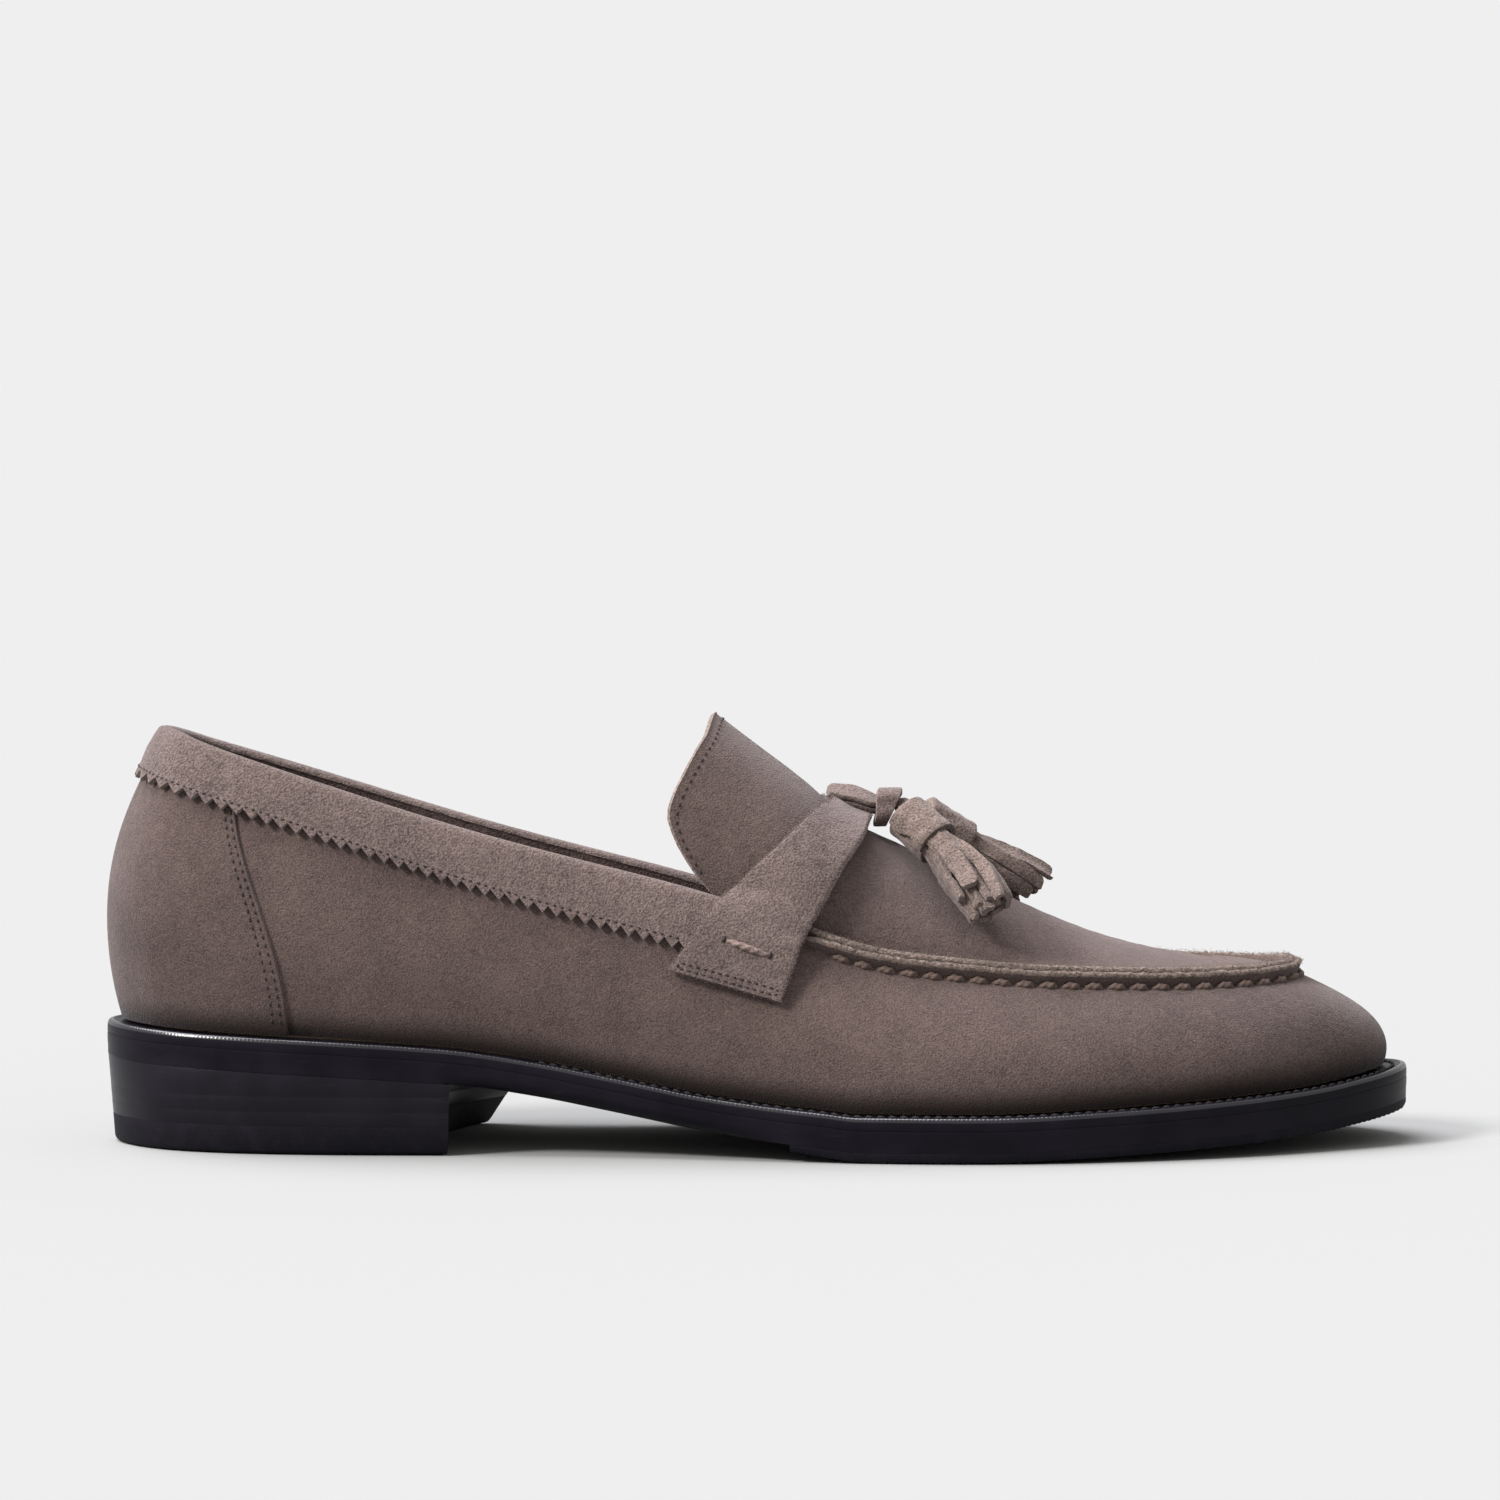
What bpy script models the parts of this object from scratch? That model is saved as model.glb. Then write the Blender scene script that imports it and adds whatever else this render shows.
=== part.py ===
"""A men's tassel loafer for the right foot, in suede on a black leather sole with a stacked heel.

The toe points along +X, the wearer's left (the inner side of this right shoe) is +Y and up is +Z.
The origin lies on the floor under the middle of the sole. Lengths are metres, angles degrees.
"""

from math import cos, pi, radians, sin

import bpy
import numpy as np

# Driving sizes of the last and the sole.
SOLE_LENGTH = 0.300
LAST_LENGTH = 0.2913
BALL_WIDTH = 0.0916
HEEL_HEIGHT = 0.0200
TOE_SPRING = 0.0073
COLLAR_HEIGHT = 0.0937
INSTEP_HEIGHT = 0.0708

# Thickness of each layer, and the air that is left where two pieces meet.
GAP = 0.0003
OUTSOLE_THICK = 0.0047
WELT_THICK = 0.0029
RUBBER_THICK = 0.0022
TOP_PIECE_THICK = 0.0060
INSOLE_RISE = 0.0025
WALL = 0.0020
PLUG_THICK = 0.0018
STRAP_THICK = 0.0016
BAND_THICK = 0.0011

# The sole's edge: how far it stands out of the upper, and where the heel and the rubber end.
WELT_MARGIN = 0.0053
HEEL_MARGIN_SHARE = 0.64
WELT_SEAT = 0.0023
RUBBER_START_SHARE = 0.0233
BREAST_SHARE = -0.2480
BREAST_SKEW = 0.119
BREAST_HOLLOW = 7.16
BREAST_LEAN = 0.65
HEEL_INSET = 0.0006
HEEL_TAPER = 0.0011

# The stitched moccasin seam: two edges of leather that stand up side by side.
LIP_THICK = 0.0015
LIP_HEIGHT = 0.0030
LIP_START_SHARE = 0.517
LIP_FULL_SHARE = 0.5548

# The edge of the back quarter, which laps over the front quarter.
LAP_FOOT_SHARE = 0.1284
LAP_STEP = 0.0009
LAP_FADE = 0.030

# The pinked collar band.
BAND_DEPTH = 0.0117
BAND_GAP = 0.00070
TOOTH_PITCH = 0.00345
TOOTH_DEPTH = 0.0020
BAND_FRONT_SHARE = 0.481
BAND_UNDER_STRAP = 0.0080

# The tassels and the thong that carries them.
THONG_WIDTH = 0.0070
THONG_THICK = 0.0012
KNOT_LENGTH = 0.0052
KNOT_WIDTH = 0.0105
KNOT_HEIGHT = 0.0088
TASSEL_HEAD_RADIUS = 0.0047
TASSEL_FRINGE_RADIUS = 0.0074
TASSEL_STRIPS = 9
STRIP_THICK = 0.0017

# Lines of the sole from heel to toe: x as a share of the sole's length, then the shares of the heel's
# height, of the rubber's thickness and of the toe spring that make up the height of its underside.
SOLE_LINE_COLUMNS = ("x", "heel", "rubber", "spring")
SOLE_LINE = (
    (0.000, 1.000, 0.00, 0.000),
    (0.260, 0.810, 0.00, 0.000),
    (0.333, 0.660, 0.00, 0.000),
    (0.378, 0.535, 0.00, 0.000),
    (0.438, 0.360, 0.00, 0.000),
    (0.500, 0.175, 0.45, 0.000),
    (0.523, 0.110, 0.70, 0.000),
    (0.550, 0.045, 0.92, 0.000),
    (0.575, 0.000, 1.00, 0.000),
    (0.665, 0.000, 1.00, 0.000),
    (0.763, 0.000, 1.00, 0.140),
    (0.840, 0.000, 1.00, 0.300),
    (0.880, 0.000, 1.00, 0.400),
    (0.930, 0.000, 1.00, 0.575),
    (0.958, 0.000, 1.00, 0.740),
    (1.000, 0.000, 1.00, 1.000),
)

# The last's sections from heel to toe. Each has its foot on the welt and its top at the collar or the
# seam, on the outer (lateral) and the inner (medial) side. x is a share of the last's length, y of half
# the ball's width and z of the collar's height. Flare and lean are the wall's angles from upright at
# its foot, outwards, and at its top, inwards; the pulls say how far the wall keeps to each angle.
SECTION_COLUMNS = (
    "foot_x", "foot_lat", "foot_med", "flare_lat", "flare_med", "foot_pull",
    "top_x", "top_lat", "top_med", "top_z", "lean", "top_pull",
)
SECTIONS = (
    (0.0000, 0.000, 0.000, 16, 16, 0.45, 0.0345, 0.000, 0.000, 0.998, 29, 0.33),
    (0.0124, 0.251, 0.245, 16, 16, 0.45, 0.0380, 0.131, 0.131, 0.995, 28, 0.33),
    (0.0398, 0.448, 0.437, 16, 16, 0.44, 0.0480, 0.258, 0.258, 0.983, 26, 0.33),
    (0.0879, 0.596, 0.585, 16, 16, 0.42, 0.0650, 0.362, 0.362, 0.962, 23, 0.34),
    (0.1497, 0.672, 0.659, 16, 16, 0.40, 0.0999, 0.467, 0.467, 0.926, 19, 0.35),
    (0.2389, 0.699, 0.668, 16, 19, 0.38, 0.1771, 0.572, 0.572, 0.850, 13, 0.36),
    (0.3316, 0.712, 0.607, 18, 26, 0.37, 0.2904, 0.651, 0.651, 0.741, 10, 0.37),
    (0.4209, 0.771, 0.559, 20, 30, 0.37, 0.4003, 0.707, 0.703, 0.649, 12, 0.37),
    (0.5101, 0.873, 0.622, 18, 28, 0.37, 0.5033, 0.729, 0.721, 0.555, 24, 0.37),
    (0.5856, 0.961, 0.764, 16, 22, 0.37, 0.5822, 0.707, 0.703, 0.464, 40, 0.37),
    (0.6543, 1.000, 0.906, 16, 18, 0.37, 0.6526, 0.681, 0.690, 0.429, 49, 0.37),
    (0.7161, 0.983, 0.983, 16, 16, 0.37, 0.7127, 0.642, 0.664, 0.411, 53, 0.37),
    (0.7779, 0.912, 0.987, 16, 15, 0.37, 0.7727, 0.572, 0.620, 0.402, 56, 0.38),
    (0.8397, 0.790, 0.915, 16, 15, 0.37, 0.8277, 0.475, 0.553, 0.396, 59, 0.39),
    (0.8946, 0.625, 0.776, 17, 16, 0.37, 0.8723, 0.362, 0.462, 0.396, 62, 0.41),
    (0.9427, 0.427, 0.600, 18, 17, 0.36, 0.9049, 0.230, 0.352, 0.398, 65, 0.43),
    (0.9770, 0.245, 0.418, 19, 19, 0.36, 0.9238, 0.100, 0.238, 0.403, 66, 0.44),
    (1.0000, -0.087, 0.087, 20, 20, 0.36, 0.9307, -0.074, 0.074, 0.406, 67, 0.44),
)

# The crest of the plug and its tongue, from the tongue's tip to the toe: x as a share of the last's
# length, z of the instep's height and how round the arch is, from 1 for a flat bow to 2 for a half circle.
CREST_COLUMNS = ("x", "z", "round")
CREST = (
    (0.4169, 1.547, 2.0),
    (0.4690, 1.388, 2.0),
    (0.5033, 1.281, 2.0),
    (0.5376, 1.174, 1.9),
    (0.5490, 1.134, 1.9),
    (0.5582, 1.098, 1.8),
    (0.5685, 1.062, 1.8),
    (0.5788, 1.030, 1.7),
    (0.5953, 0.996, 1.6),
    (0.6118, 0.966, 1.5),
    (0.6406, 0.907, 1.35),
    (0.6749, 0.838, 1.2),
    (0.7092, 0.774, 1.1),
    (0.7346, 0.727, 1.0),
    (0.7741, 0.665, 1.0),
    (0.8139, 0.621, 1.0),
    (0.8397, 0.602, 1.0),
    (0.8637, 0.585, 1.0),
)
CREST_SHIFT = 0.0030
PLUG_FAN_SHARE = 0.8534

# The free end of the tongue: angle round the arch from its crest, and how far back of its tip the edge
# lies there, as a share of the last's length.
TONGUE_TIP_SHARE = 0.469
TONGUE_STRAIGHT_SHARE = 0.5308
TONGUE_END_COLUMNS = ("angle", "back")
TONGUE_END = (
    (0, 0.0000),
    (28, 0.0065),
    (39, 0.0137),
    (52, 0.0244),
    (62, 0.0336),
    (67, 0.0364),
    (72, 0.0323),
    (78, 0.0220),
    (84, 0.0076),
    (90, -0.0137),
)
TONGUE_SIDE_COLUMNS = ("x", "y", "z")
TONGUE_SIDE = (
    (0.3850, 0.638, 0.640),
    (0.4690, 0.643, 0.590),
    (0.4900, 0.655, 0.572),
)

# The strap over the instep: for each row from its middle down to its end, x as a share of the last's
# length and the angle round the foot, of its back edge and of its front edge, and how far each clears the
# leather under it.
STRAP_COLUMNS = ("back_x", "back_angle", "front_x", "front_angle", "back_clear", "front_clear")
STRAP = (
    (0.5644, 0.0, 0.5932, 0.0, 0.0014, 0.0030),
    (0.5606, 12.0, 0.5908, 11.5, 0.0016, 0.0030),
    (0.5520, 21.0, 0.5867, 23.5, 0.0016, 0.0030),
    (0.5404, 30.0, 0.5785, 34.0, 0.0015, 0.0029),
    (0.5215, 39.5, 0.5685, 43.7, 0.0015, 0.0028),
    (0.4999, 47.0, 0.5568, 54.2, 0.0023, 0.0028),
    (0.4806, 54.3, 0.5469, 62.0, 0.0030, 0.0029),
    (0.4607, 64.4, 0.5366, 71.0, 0.0032, 0.0029),
    (0.4504, 70.5, 0.5308, 78.0, 0.0026, 0.0021),
    (0.4336, 79.2, 0.5205, 89.5, 0.0012, 0.0006),
)
STRAP_EYE_Z = 0.035

# Each tassel: where its tie leaves the knot, where its head starts and ends, and where its fringe ends.
# x is a share of the last's length, y of half the ball's width, and z the rise over the plug's crest as a
# share of the instep's height.
TASSELS = {
    "tassel_lateral": (
        (0.6190, -0.057, 0.1386), (0.6190, -0.179, 0.1075), (0.6434, -0.306, 0.0718), (0.6818, -0.590, -0.0338),
    ),
    "tassel_medial": (
        (0.6197, 0.017, 0.1485), (0.6317, 0.114, 0.1367), (0.6660, 0.186, 0.0880), (0.7202, 0.317, 0.0731),
    ),
}
TIE_RADIUS = 0.0012
KNOT_CENTRE = (0.6049, -0.022, 0.1019)

# The thong's arc over the strap: share of the way to the knot, and share of its rise.
THONG_RISE = 0.0022
THONG_ARC = ((0.83, 0.62), (0.64, 1.00), (0.44, 1.00), (0.26, 0.68))

SUEDE = ("suede", (0.135, 0.096, 0.085), 0.95)
SUEDE_NAPPED = ("suede_napped", (0.200, 0.158, 0.146), 0.97)
SOLE_BLACK = ("sole_black", (0.012, 0.011, 0.013), 0.42)
RUBBER_BLACK = ("rubber_black", (0.014, 0.013, 0.015), 0.70)
INSOLE_TAN = ("insole_leather", (0.270, 0.180, 0.115), 0.60)

UP = np.array((0.0, 0.0, 1.0))


def column(table, names, name):
    """One named column of a table, as an array."""
    return np.array([row[names.index(name)] for row in table], float)


def through(x, xs, ys):
    """A smooth line through the points that never overshoots them, read at x."""
    xs = np.asarray(xs, float)
    ys = np.asarray(ys, float)
    step = np.diff(xs)
    slope = np.diff(ys) / step
    tangent = np.zeros(len(xs))
    tangent[0] = slope[0]
    tangent[-1] = slope[-1]
    for i in range(1, len(xs) - 1):
        if slope[i - 1] * slope[i] > 0:
            a = 2 * step[i] + step[i - 1]
            b = step[i] + 2 * step[i - 1]
            tangent[i] = (a + b) / (a / slope[i - 1] + b / slope[i])
    x = np.clip(np.asarray(x, float), xs[0], xs[-1])
    i = np.clip(np.searchsorted(xs, x, side="right") - 1, 0, len(step) - 1)
    t = (x - xs[i]) / step[i]
    return (
        ys[i] * (1 + 2 * t) * (1 - t) ** 2
        + tangent[i] * step[i] * t * (1 - t) ** 2
        + ys[i + 1] * t * t * (3 - 2 * t)
        + tangent[i + 1] * step[i] * t * t * (t - 1)
    )


class Loop:
    """A smooth closed curve through rows of numbers, with a knot for each row."""

    def __init__(self, knots, period, rows):
        self.knots = np.append(knots, period)
        self.rows = np.vstack([rows, rows[:1]])
        self.period = period
        count = len(rows)
        step = np.diff(self.knots)
        matrix = np.zeros((count, count))
        right = np.zeros((count, rows.shape[1]))
        for i in range(count):
            before, after = step[i - 1], step[i]
            matrix[i, i - 1] += before
            matrix[i, i] += 2 * (before + after)
            matrix[i, (i + 1) % count] += after
            rise = (self.rows[i + 1] - self.rows[i]) / after
            fall = (self.rows[i] - self.rows[i - 1 if i else count - 1]) / before
            right[i] = 6 * (rise - fall)
        bend = np.linalg.solve(matrix, right)
        self.bend = np.vstack([bend, bend[:1]])

    def at(self, t):
        t = np.mod(np.asarray(t, float), self.period)
        i = np.clip(np.searchsorted(self.knots, t, side="right") - 1, 0, len(self.knots) - 2)
        step = (self.knots[i + 1] - self.knots[i])[:, None]
        ahead = (self.knots[i + 1] - t)[:, None]
        past = (t - self.knots[i])[:, None]
        return (
            self.bend[i] * ahead**3 / (6 * step)
            + self.bend[i + 1] * past**3 / (6 * step)
            + (self.rows[i] / step - self.bend[i] * step / 6) * ahead
            + (self.rows[i + 1] / step - self.bend[i + 1] * step / 6) * past
        )


def underside(x):
    """Height of the leather outsole's underside."""
    share = x / SOLE_LENGTH + 0.5
    xs = column(SOLE_LINE, SOLE_LINE_COLUMNS, "x")
    heel = through(share, xs, column(SOLE_LINE, SOLE_LINE_COLUMNS, "heel"))
    rubber = through(share, xs, column(SOLE_LINE, SOLE_LINE_COLUMNS, "rubber"))
    spring = through(share, xs, column(SOLE_LINE, SOLE_LINE_COLUMNS, "spring"))
    return HEEL_HEIGHT * heel + RUBBER_THICK * rubber + TOE_SPRING * spring


def tread(x):
    """Height of the rubber's underside."""
    rubber = through(
        x / SOLE_LENGTH + 0.5,
        column(SOLE_LINE, SOLE_LINE_COLUMNS, "x"),
        column(SOLE_LINE, SOLE_LINE_COLUMNS, "rubber"),
    )
    return underside(x) - RUBBER_THICK * rubber


def outsole_top(x):
    return underside(x) + OUTSOLE_THICK


def welt_top(x):
    return outsole_top(x) + GAP + WELT_THICK


LAST_BACK = -SOLE_LENGTH / 2 + WELT_MARGIN * HEEL_MARGIN_SHARE
RUBBER_START = SOLE_LENGTH * RUBBER_START_SHARE
BREAST_X = SOLE_LENGTH * BREAST_SHARE


def last_x(share):
    return LAST_BACK + LAST_LENGTH * share


def make_last():
    """The last as one closed loop of sections: from the heel along the outer side to the toe and back."""
    half = BALL_WIDTH / 2
    get = {name: column(SECTIONS, SECTION_COLUMNS, name) for name in SECTION_COLUMNS}
    foot_x = last_x(get["foot_x"])
    top_x = last_x(get["top_x"])
    top_z = COLLAR_HEIGHT * get["top_z"]
    shared = [top_z, get["lean"], get["foot_pull"], get["top_pull"]]
    lateral = [foot_x, -half * get["foot_lat"], get["flare_lat"], top_x, -half * get["top_lat"]]
    medial = [foot_x, half * get["foot_med"], get["flare_med"], top_x, half * get["top_med"]]
    rows = np.vstack([np.column_stack(lateral + shared), np.column_stack(medial + shared)[-2:0:-1]])
    around = np.linalg.norm(np.diff(np.vstack([rows, rows[:1]])[:, :2], axis=0), axis=1)
    knots = np.concatenate([[0.0], np.cumsum(around)])
    return Loop(knots[:-1], knots[-1], rows), knots[len(SECTIONS) - 1]


LAST, TOE_T = make_last()
PERIOD = LAST.period


def plan_normals(points_before, points_after):
    """Outward level normals of a loop, from points a little before and after each."""
    way = points_after - points_before
    way /= np.linalg.norm(way, axis=1)[:, None]
    return np.column_stack([way[:, 1], -way[:, 0], np.zeros(len(way))])


def wall_frame(t):
    """For each place t round the last: the four control points of its wall, and the directions at its top."""
    t = np.asarray(t, float)
    row = LAST.at(t)
    step = 0.0004
    before, after = LAST.at(t - step), LAST.at(t + step)
    foot_out = plan_normals(before[:, 0:2], after[:, 0:2])
    top_out = plan_normals(before[:, 3:5], after[:, 3:5])
    foot = np.column_stack([row[:, 0], row[:, 1], welt_top(row[:, 0]) + 1.6 * GAP])
    top = row[:, 3:6]
    flare = np.radians(row[:, 2])[:, None]
    lean = np.radians(row[:, 6])[:, None]
    size = np.linalg.norm(top - foot, axis=1)[:, None]
    foot_handle = foot + row[:, 7:8] * size * (np.sin(flare) * foot_out + np.cos(flare) * UP)
    top_handle = top + row[:, 8:9] * size * (np.sin(lean) * top_out - np.cos(lean) * UP)
    inward = -np.sin(lean) * top_out + np.cos(lean) * UP
    outward = np.cos(lean) * top_out + np.sin(lean) * UP
    return foot, foot_handle, top_handle, top, inward, outward, foot_out


def wall(t, v):
    """Points of the outer face of the wall: one row for each t, one column for each v from foot to top."""
    foot, foot_handle, top_handle, top = wall_frame(t)[:4]
    v = np.asarray(v, float)[None, :, None]
    return (
        foot[:, None] * (1 - v) ** 3
        + foot_handle[:, None] * 3 * v * (1 - v) ** 2
        + top_handle[:, None] * 3 * v * v * (1 - v)
        + top[:, None] * v**3
    )


def wall_normals(t, v):
    """Outward normals of the wall at the same points."""
    t = np.asarray(t, float)
    v = np.asarray(v, float)
    step = 0.0006
    along = wall(t + step, v) - wall(t - step, v)
    up = wall(t, np.minimum(v + 0.01, 1)) - wall(t, np.maximum(v - 0.01, 0))
    normal = np.cross(along, up)
    return normal / np.linalg.norm(normal, axis=2)[..., None]


def ease(x):
    x = np.clip(x, 0, 1)
    return x * x * (3 - 2 * x)


def lap_steps():
    """Where the edge of the back quarter crosses the feather line, on the outer and the inner side."""
    dense = np.linspace(0, PERIOD, 4001)
    foot_x = LAST.at(dense)[:, 0]
    outer = dense < TOE_T
    lateral = np.interp(last_x(LAP_FOOT_SHARE), foot_x[outer], dense[outer])
    medial = np.interp(-last_x(LAP_FOOT_SHARE), -foot_x[~outer], dense[~outer])
    return lateral, medial


LAP_LATERAL, LAP_MEDIAL = lap_steps()
LAP_HALF = 0.0004


def lap_depth(t):
    """How far the front quarter lies under the back quarter's face, at t."""
    past = np.minimum(t - LAP_LATERAL, LAP_MEDIAL - t)
    return LAP_STEP * ease((past + LAP_HALF) / (2 * LAP_HALF)) * (1 - ease(past / LAP_FADE))


def lip_share(x):
    start, full = last_x(LIP_START_SHARE), last_x(LIP_FULL_SHARE)
    return ease((x - start) / (full - start))


def mesh_object(name, vertices, faces, finish):
    mesh = bpy.data.meshes.new(name)
    mesh.from_pydata([tuple(map(float, p)) for p in vertices], [], [tuple(map(int, f)) for f in faces])
    mesh.validate()
    mesh.shade_smooth()
    mesh.set_sharp_from_angle(angle=radians(38))
    mesh.materials.append(material(*finish))
    obj = bpy.data.objects.new(name, mesh)
    bpy.context.scene.collection.objects.link(obj)
    return obj


def material(name, colour, roughness):
    found = bpy.data.materials.get(name)
    if found:
        return found
    made = bpy.data.materials.new(name)
    made.use_nodes = True
    shader = made.node_tree.nodes["Principled BSDF"]
    shader.inputs["Base Color"].default_value = (*colour, 1.0)
    shader.inputs["Roughness"].default_value = roughness
    shader.inputs["Metallic"].default_value = 0.0
    return made


def sheet_solid(name, outer, inner, faces, finish):
    """A closed solid between an open sheet and its twin, joined along the sheet's free edges."""
    count = len(outer)
    edges = {(f[i], f[(i + 1) % len(f)]) for f in faces for i in range(len(f))}
    rim = [(a, b) for a, b in edges if (b, a) not in edges]
    solid = [tuple(f) for f in faces]
    solid += [tuple(count + i for i in reversed(f)) for f in faces]
    solid += [(b, a, count + a, count + b) for a, b in sorted(rim)]
    return mesh_object(name, np.vstack([outer, inner]), solid, finish)


def grid_faces(columns, rows, closed):
    """Quads of a grid whose vertices run column by column; closed joins the last column to the first."""
    faces = []
    for j in range(columns if closed else columns - 1):
        k = (j + 1) % columns
        for i in range(rows - 1):
            faces.append((j * rows + i, k * rows + i, k * rows + i + 1, j * rows + i + 1))
    return faces


def sole_outline():
    """The sole's edge as a dense loop of plan points with their outward normals."""
    t = np.linspace(0, PERIOD, 1601)[:-1]
    row = LAST.at(t)
    normal = plan_normals(LAST.at(t - 0.0004)[:, 0:2], LAST.at(t + 0.0004)[:, 0:2])[:, :2]
    forward = ease((row[:, 0] - BREAST_X) / (RUBBER_START - BREAST_X))
    margin = WELT_MARGIN * (HEEL_MARGIN_SHARE + (1 - HEEL_MARGIN_SHARE) * forward)
    points = row[:, 0:2] + margin[:, None] * normal
    middle = (points.max(0) + points.min(0)) / 2
    return points, normal, middle


OUTLINE, OUTLINE_NORMAL, OUTLINE_MIDDLE = sole_outline()


def outline_ring(stations, inset, points=OUTLINE, normals=OUTLINE_NORMAL):
    """The outline read at the same stations on both sides, moved inwards: heel end, outer side, toe end,
    inner side. Stations run from 0 at the heel to 1 at the toe."""
    heel = int(np.argmin(points[:, 0]))
    points = np.roll(points, -heel, axis=0)
    normals = np.roll(normals, -heel, axis=0)
    toe = int(np.argmax(points[:, 0]))
    span = points[toe, 0] - points[0, 0]
    wanted = points[0, 0] + span * stations[1:-1]
    sides = []
    for part in (slice(0, toe + 1), slice(len(points) - 1, toe - 1, -1)):
        x = points[part, 0]
        edge = [np.interp(wanted, x, a) for a in (points[part, 1], normals[part, 0], normals[part, 1])]
        sides.append((np.column_stack([wanted, edge[0]]), np.column_stack(edge[1:])))
    ring = np.vstack([points[:1], sides[0][0], points[toe:toe + 1], sides[1][0][::-1]])
    out = np.vstack([normals[:1], sides[0][1], normals[toe:toe + 1], sides[1][1][::-1]])
    out /= np.linalg.norm(out, axis=1)[:, None]
    if callable(inset):
        inset = inset(ring[:, 0])[:, None]
    return ring - inset * out


def lifted(ring, height):
    """A plan ring as points in space; height is a number or a function of x."""
    z = height(ring[:, 0]) if callable(height) else np.full(len(ring), height)
    return np.column_stack([ring, z])


def capped(rings):
    """Vertices and faces of a solid stacked from rings, from its top ring to its bottom ring."""
    size = len(rings[0])
    half = size // 2
    faces = []
    for level in range(len(rings) - 1):
        a, b = level * size, (level + 1) * size
        faces += [(b + k, b + (k + 1) % size, a + (k + 1) % size, a + k) for k in range(size)]
    for base, flip in ((0, False), ((len(rings) - 1) * size, True)):
        for k in range(half):
            strip = [base + k, base + k + 1]
            strip += [base + size - k - 1] if k + 1 < half else []
            strip += [base + size - k] if k else []
            faces.append(tuple(reversed(strip)) if flip else tuple(strip))
    return np.vstack(rings), faces


def hooped(rings):
    """Vertices and faces of a hoop whose section runs through the rings and back to the first."""
    size = len(rings[0])
    faces = []
    for level in range(len(rings)):
        a, b = level * size, (level + 1) % len(rings) * size
        faces += [(b + k, b + (k + 1) % size, a + (k + 1) % size, a + k) for k in range(size)]
    return np.vstack(rings), faces


def end_spaced(count):
    """Stations from 0 to 1, closer together at both ends."""
    return 0.5 - 0.5 * np.cos(np.linspace(0, pi, count))


def waist_bevel(x):
    """How far the outsole's lower edge is pared back: most at the waist, a little at the forepart."""
    waist = ease((x - BREAST_X) / 0.015) * (1 - ease((x - RUBBER_START + 0.02) / 0.02))
    return 0.0006 + 0.0022 * waist


def build_outsole():
    stations = end_spaced(44)
    rings = [
        lifted(outline_ring(stations, 0.0005), outsole_top),
        lifted(outline_ring(stations, 0.0), lambda x: outsole_top(x) - 0.0007),
        lifted(outline_ring(stations, 0.0002), lambda x: underside(x) + 0.0018),
        lifted(outline_ring(stations, waist_bevel), underside),
    ]
    mesh_object("outsole", *capped(rings), SOLE_BLACK)


def feather_points():
    t = np.linspace(0, PERIOD, 1601)[:-1]
    normal = plan_normals(LAST.at(t - 0.0004)[:, 0:2], LAST.at(t + 0.0004)[:, 0:2])[:, :2]
    return LAST.at(t)[:, 0:2], normal


def build_welt():
    stations = end_spaced(44)
    seat = outline_ring(stations, WELT_SEAT, *feather_points())
    bottom = lambda x: outsole_top(x) + GAP
    rings = [
        lifted(seat, welt_top),
        lifted(outline_ring(stations, 0.0016), welt_top),
        lifted(outline_ring(stations, 0.0005), lambda x: welt_top(x) - 0.0005),
        lifted(outline_ring(stations, 0.0003), lambda x: welt_top(x) - 0.0014),
        lifted(outline_ring(stations, 0.0007), bottom),
        lifted(seat, bottom),
    ]
    mesh_object("welt", *hooped(rings), SOLE_BLACK)


def build_insole():
    stations = end_spaced(36)
    ring = outline_ring(stations, max(WELT_SEAT, WALL) + 2 * GAP, *feather_points())
    rings = [
        lifted(ring, lambda x: welt_top(x) + INSOLE_RISE),
        lifted(ring, lambda x: outsole_top(x) + 2 * GAP),
    ]
    mesh_object("insole", *capped(rings), INSOLE_TAN)


def build_half_sole():
    """The rubber under the forepart, thin at its back edge."""
    toe = OUTLINE[:, 0].max()
    share = (RUBBER_START - OUTLINE[:, 0].min()) / (toe - OUTLINE[:, 0].min())
    stations = share + (1 - share) * np.sin(np.linspace(0, pi / 2, 26))
    stations = np.concatenate([[0.0], stations])
    rings = []
    for inset, height in (
        (0.0008, lambda x: underside(x) - GAP),
        (0.0006, lambda x: 0.5 * (underside(x) - GAP + tread(x))),
        (0.0011, tread),
    ):
        ring = outline_ring(stations, inset)
        rings.append(lifted(np.delete(ring, 0, axis=0), height))
    size = len(rings[0])
    faces = []
    for level in range(len(rings) - 1):
        a, b = level * size, (level + 1) * size
        faces += [(b + k, b + (k + 1) % size, a + (k + 1) % size, a + k) for k in range(size)]
    half = size // 2
    for base, flip in ((0, False), ((len(rings) - 1) * size, True)):
        for k in range(half):
            strip = [base + k, base + k + 1]
            strip += [base + size - k - 2] if k + 1 < half else []
            strip += [base + size - k - 1]
            faces.append(tuple(reversed(strip)) if flip else tuple(strip))
    mesh_object("half_sole", np.vstack(rings), faces, RUBBER_BLACK)


def breast(y, z):
    """Where the heel's hollow front face lies; on the inner side it leans forwards."""
    return BREAST_X + BREAST_SKEW * y + BREAST_HOLLOW * y * y + BREAST_LEAN * ease(y / 0.031) * z


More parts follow.
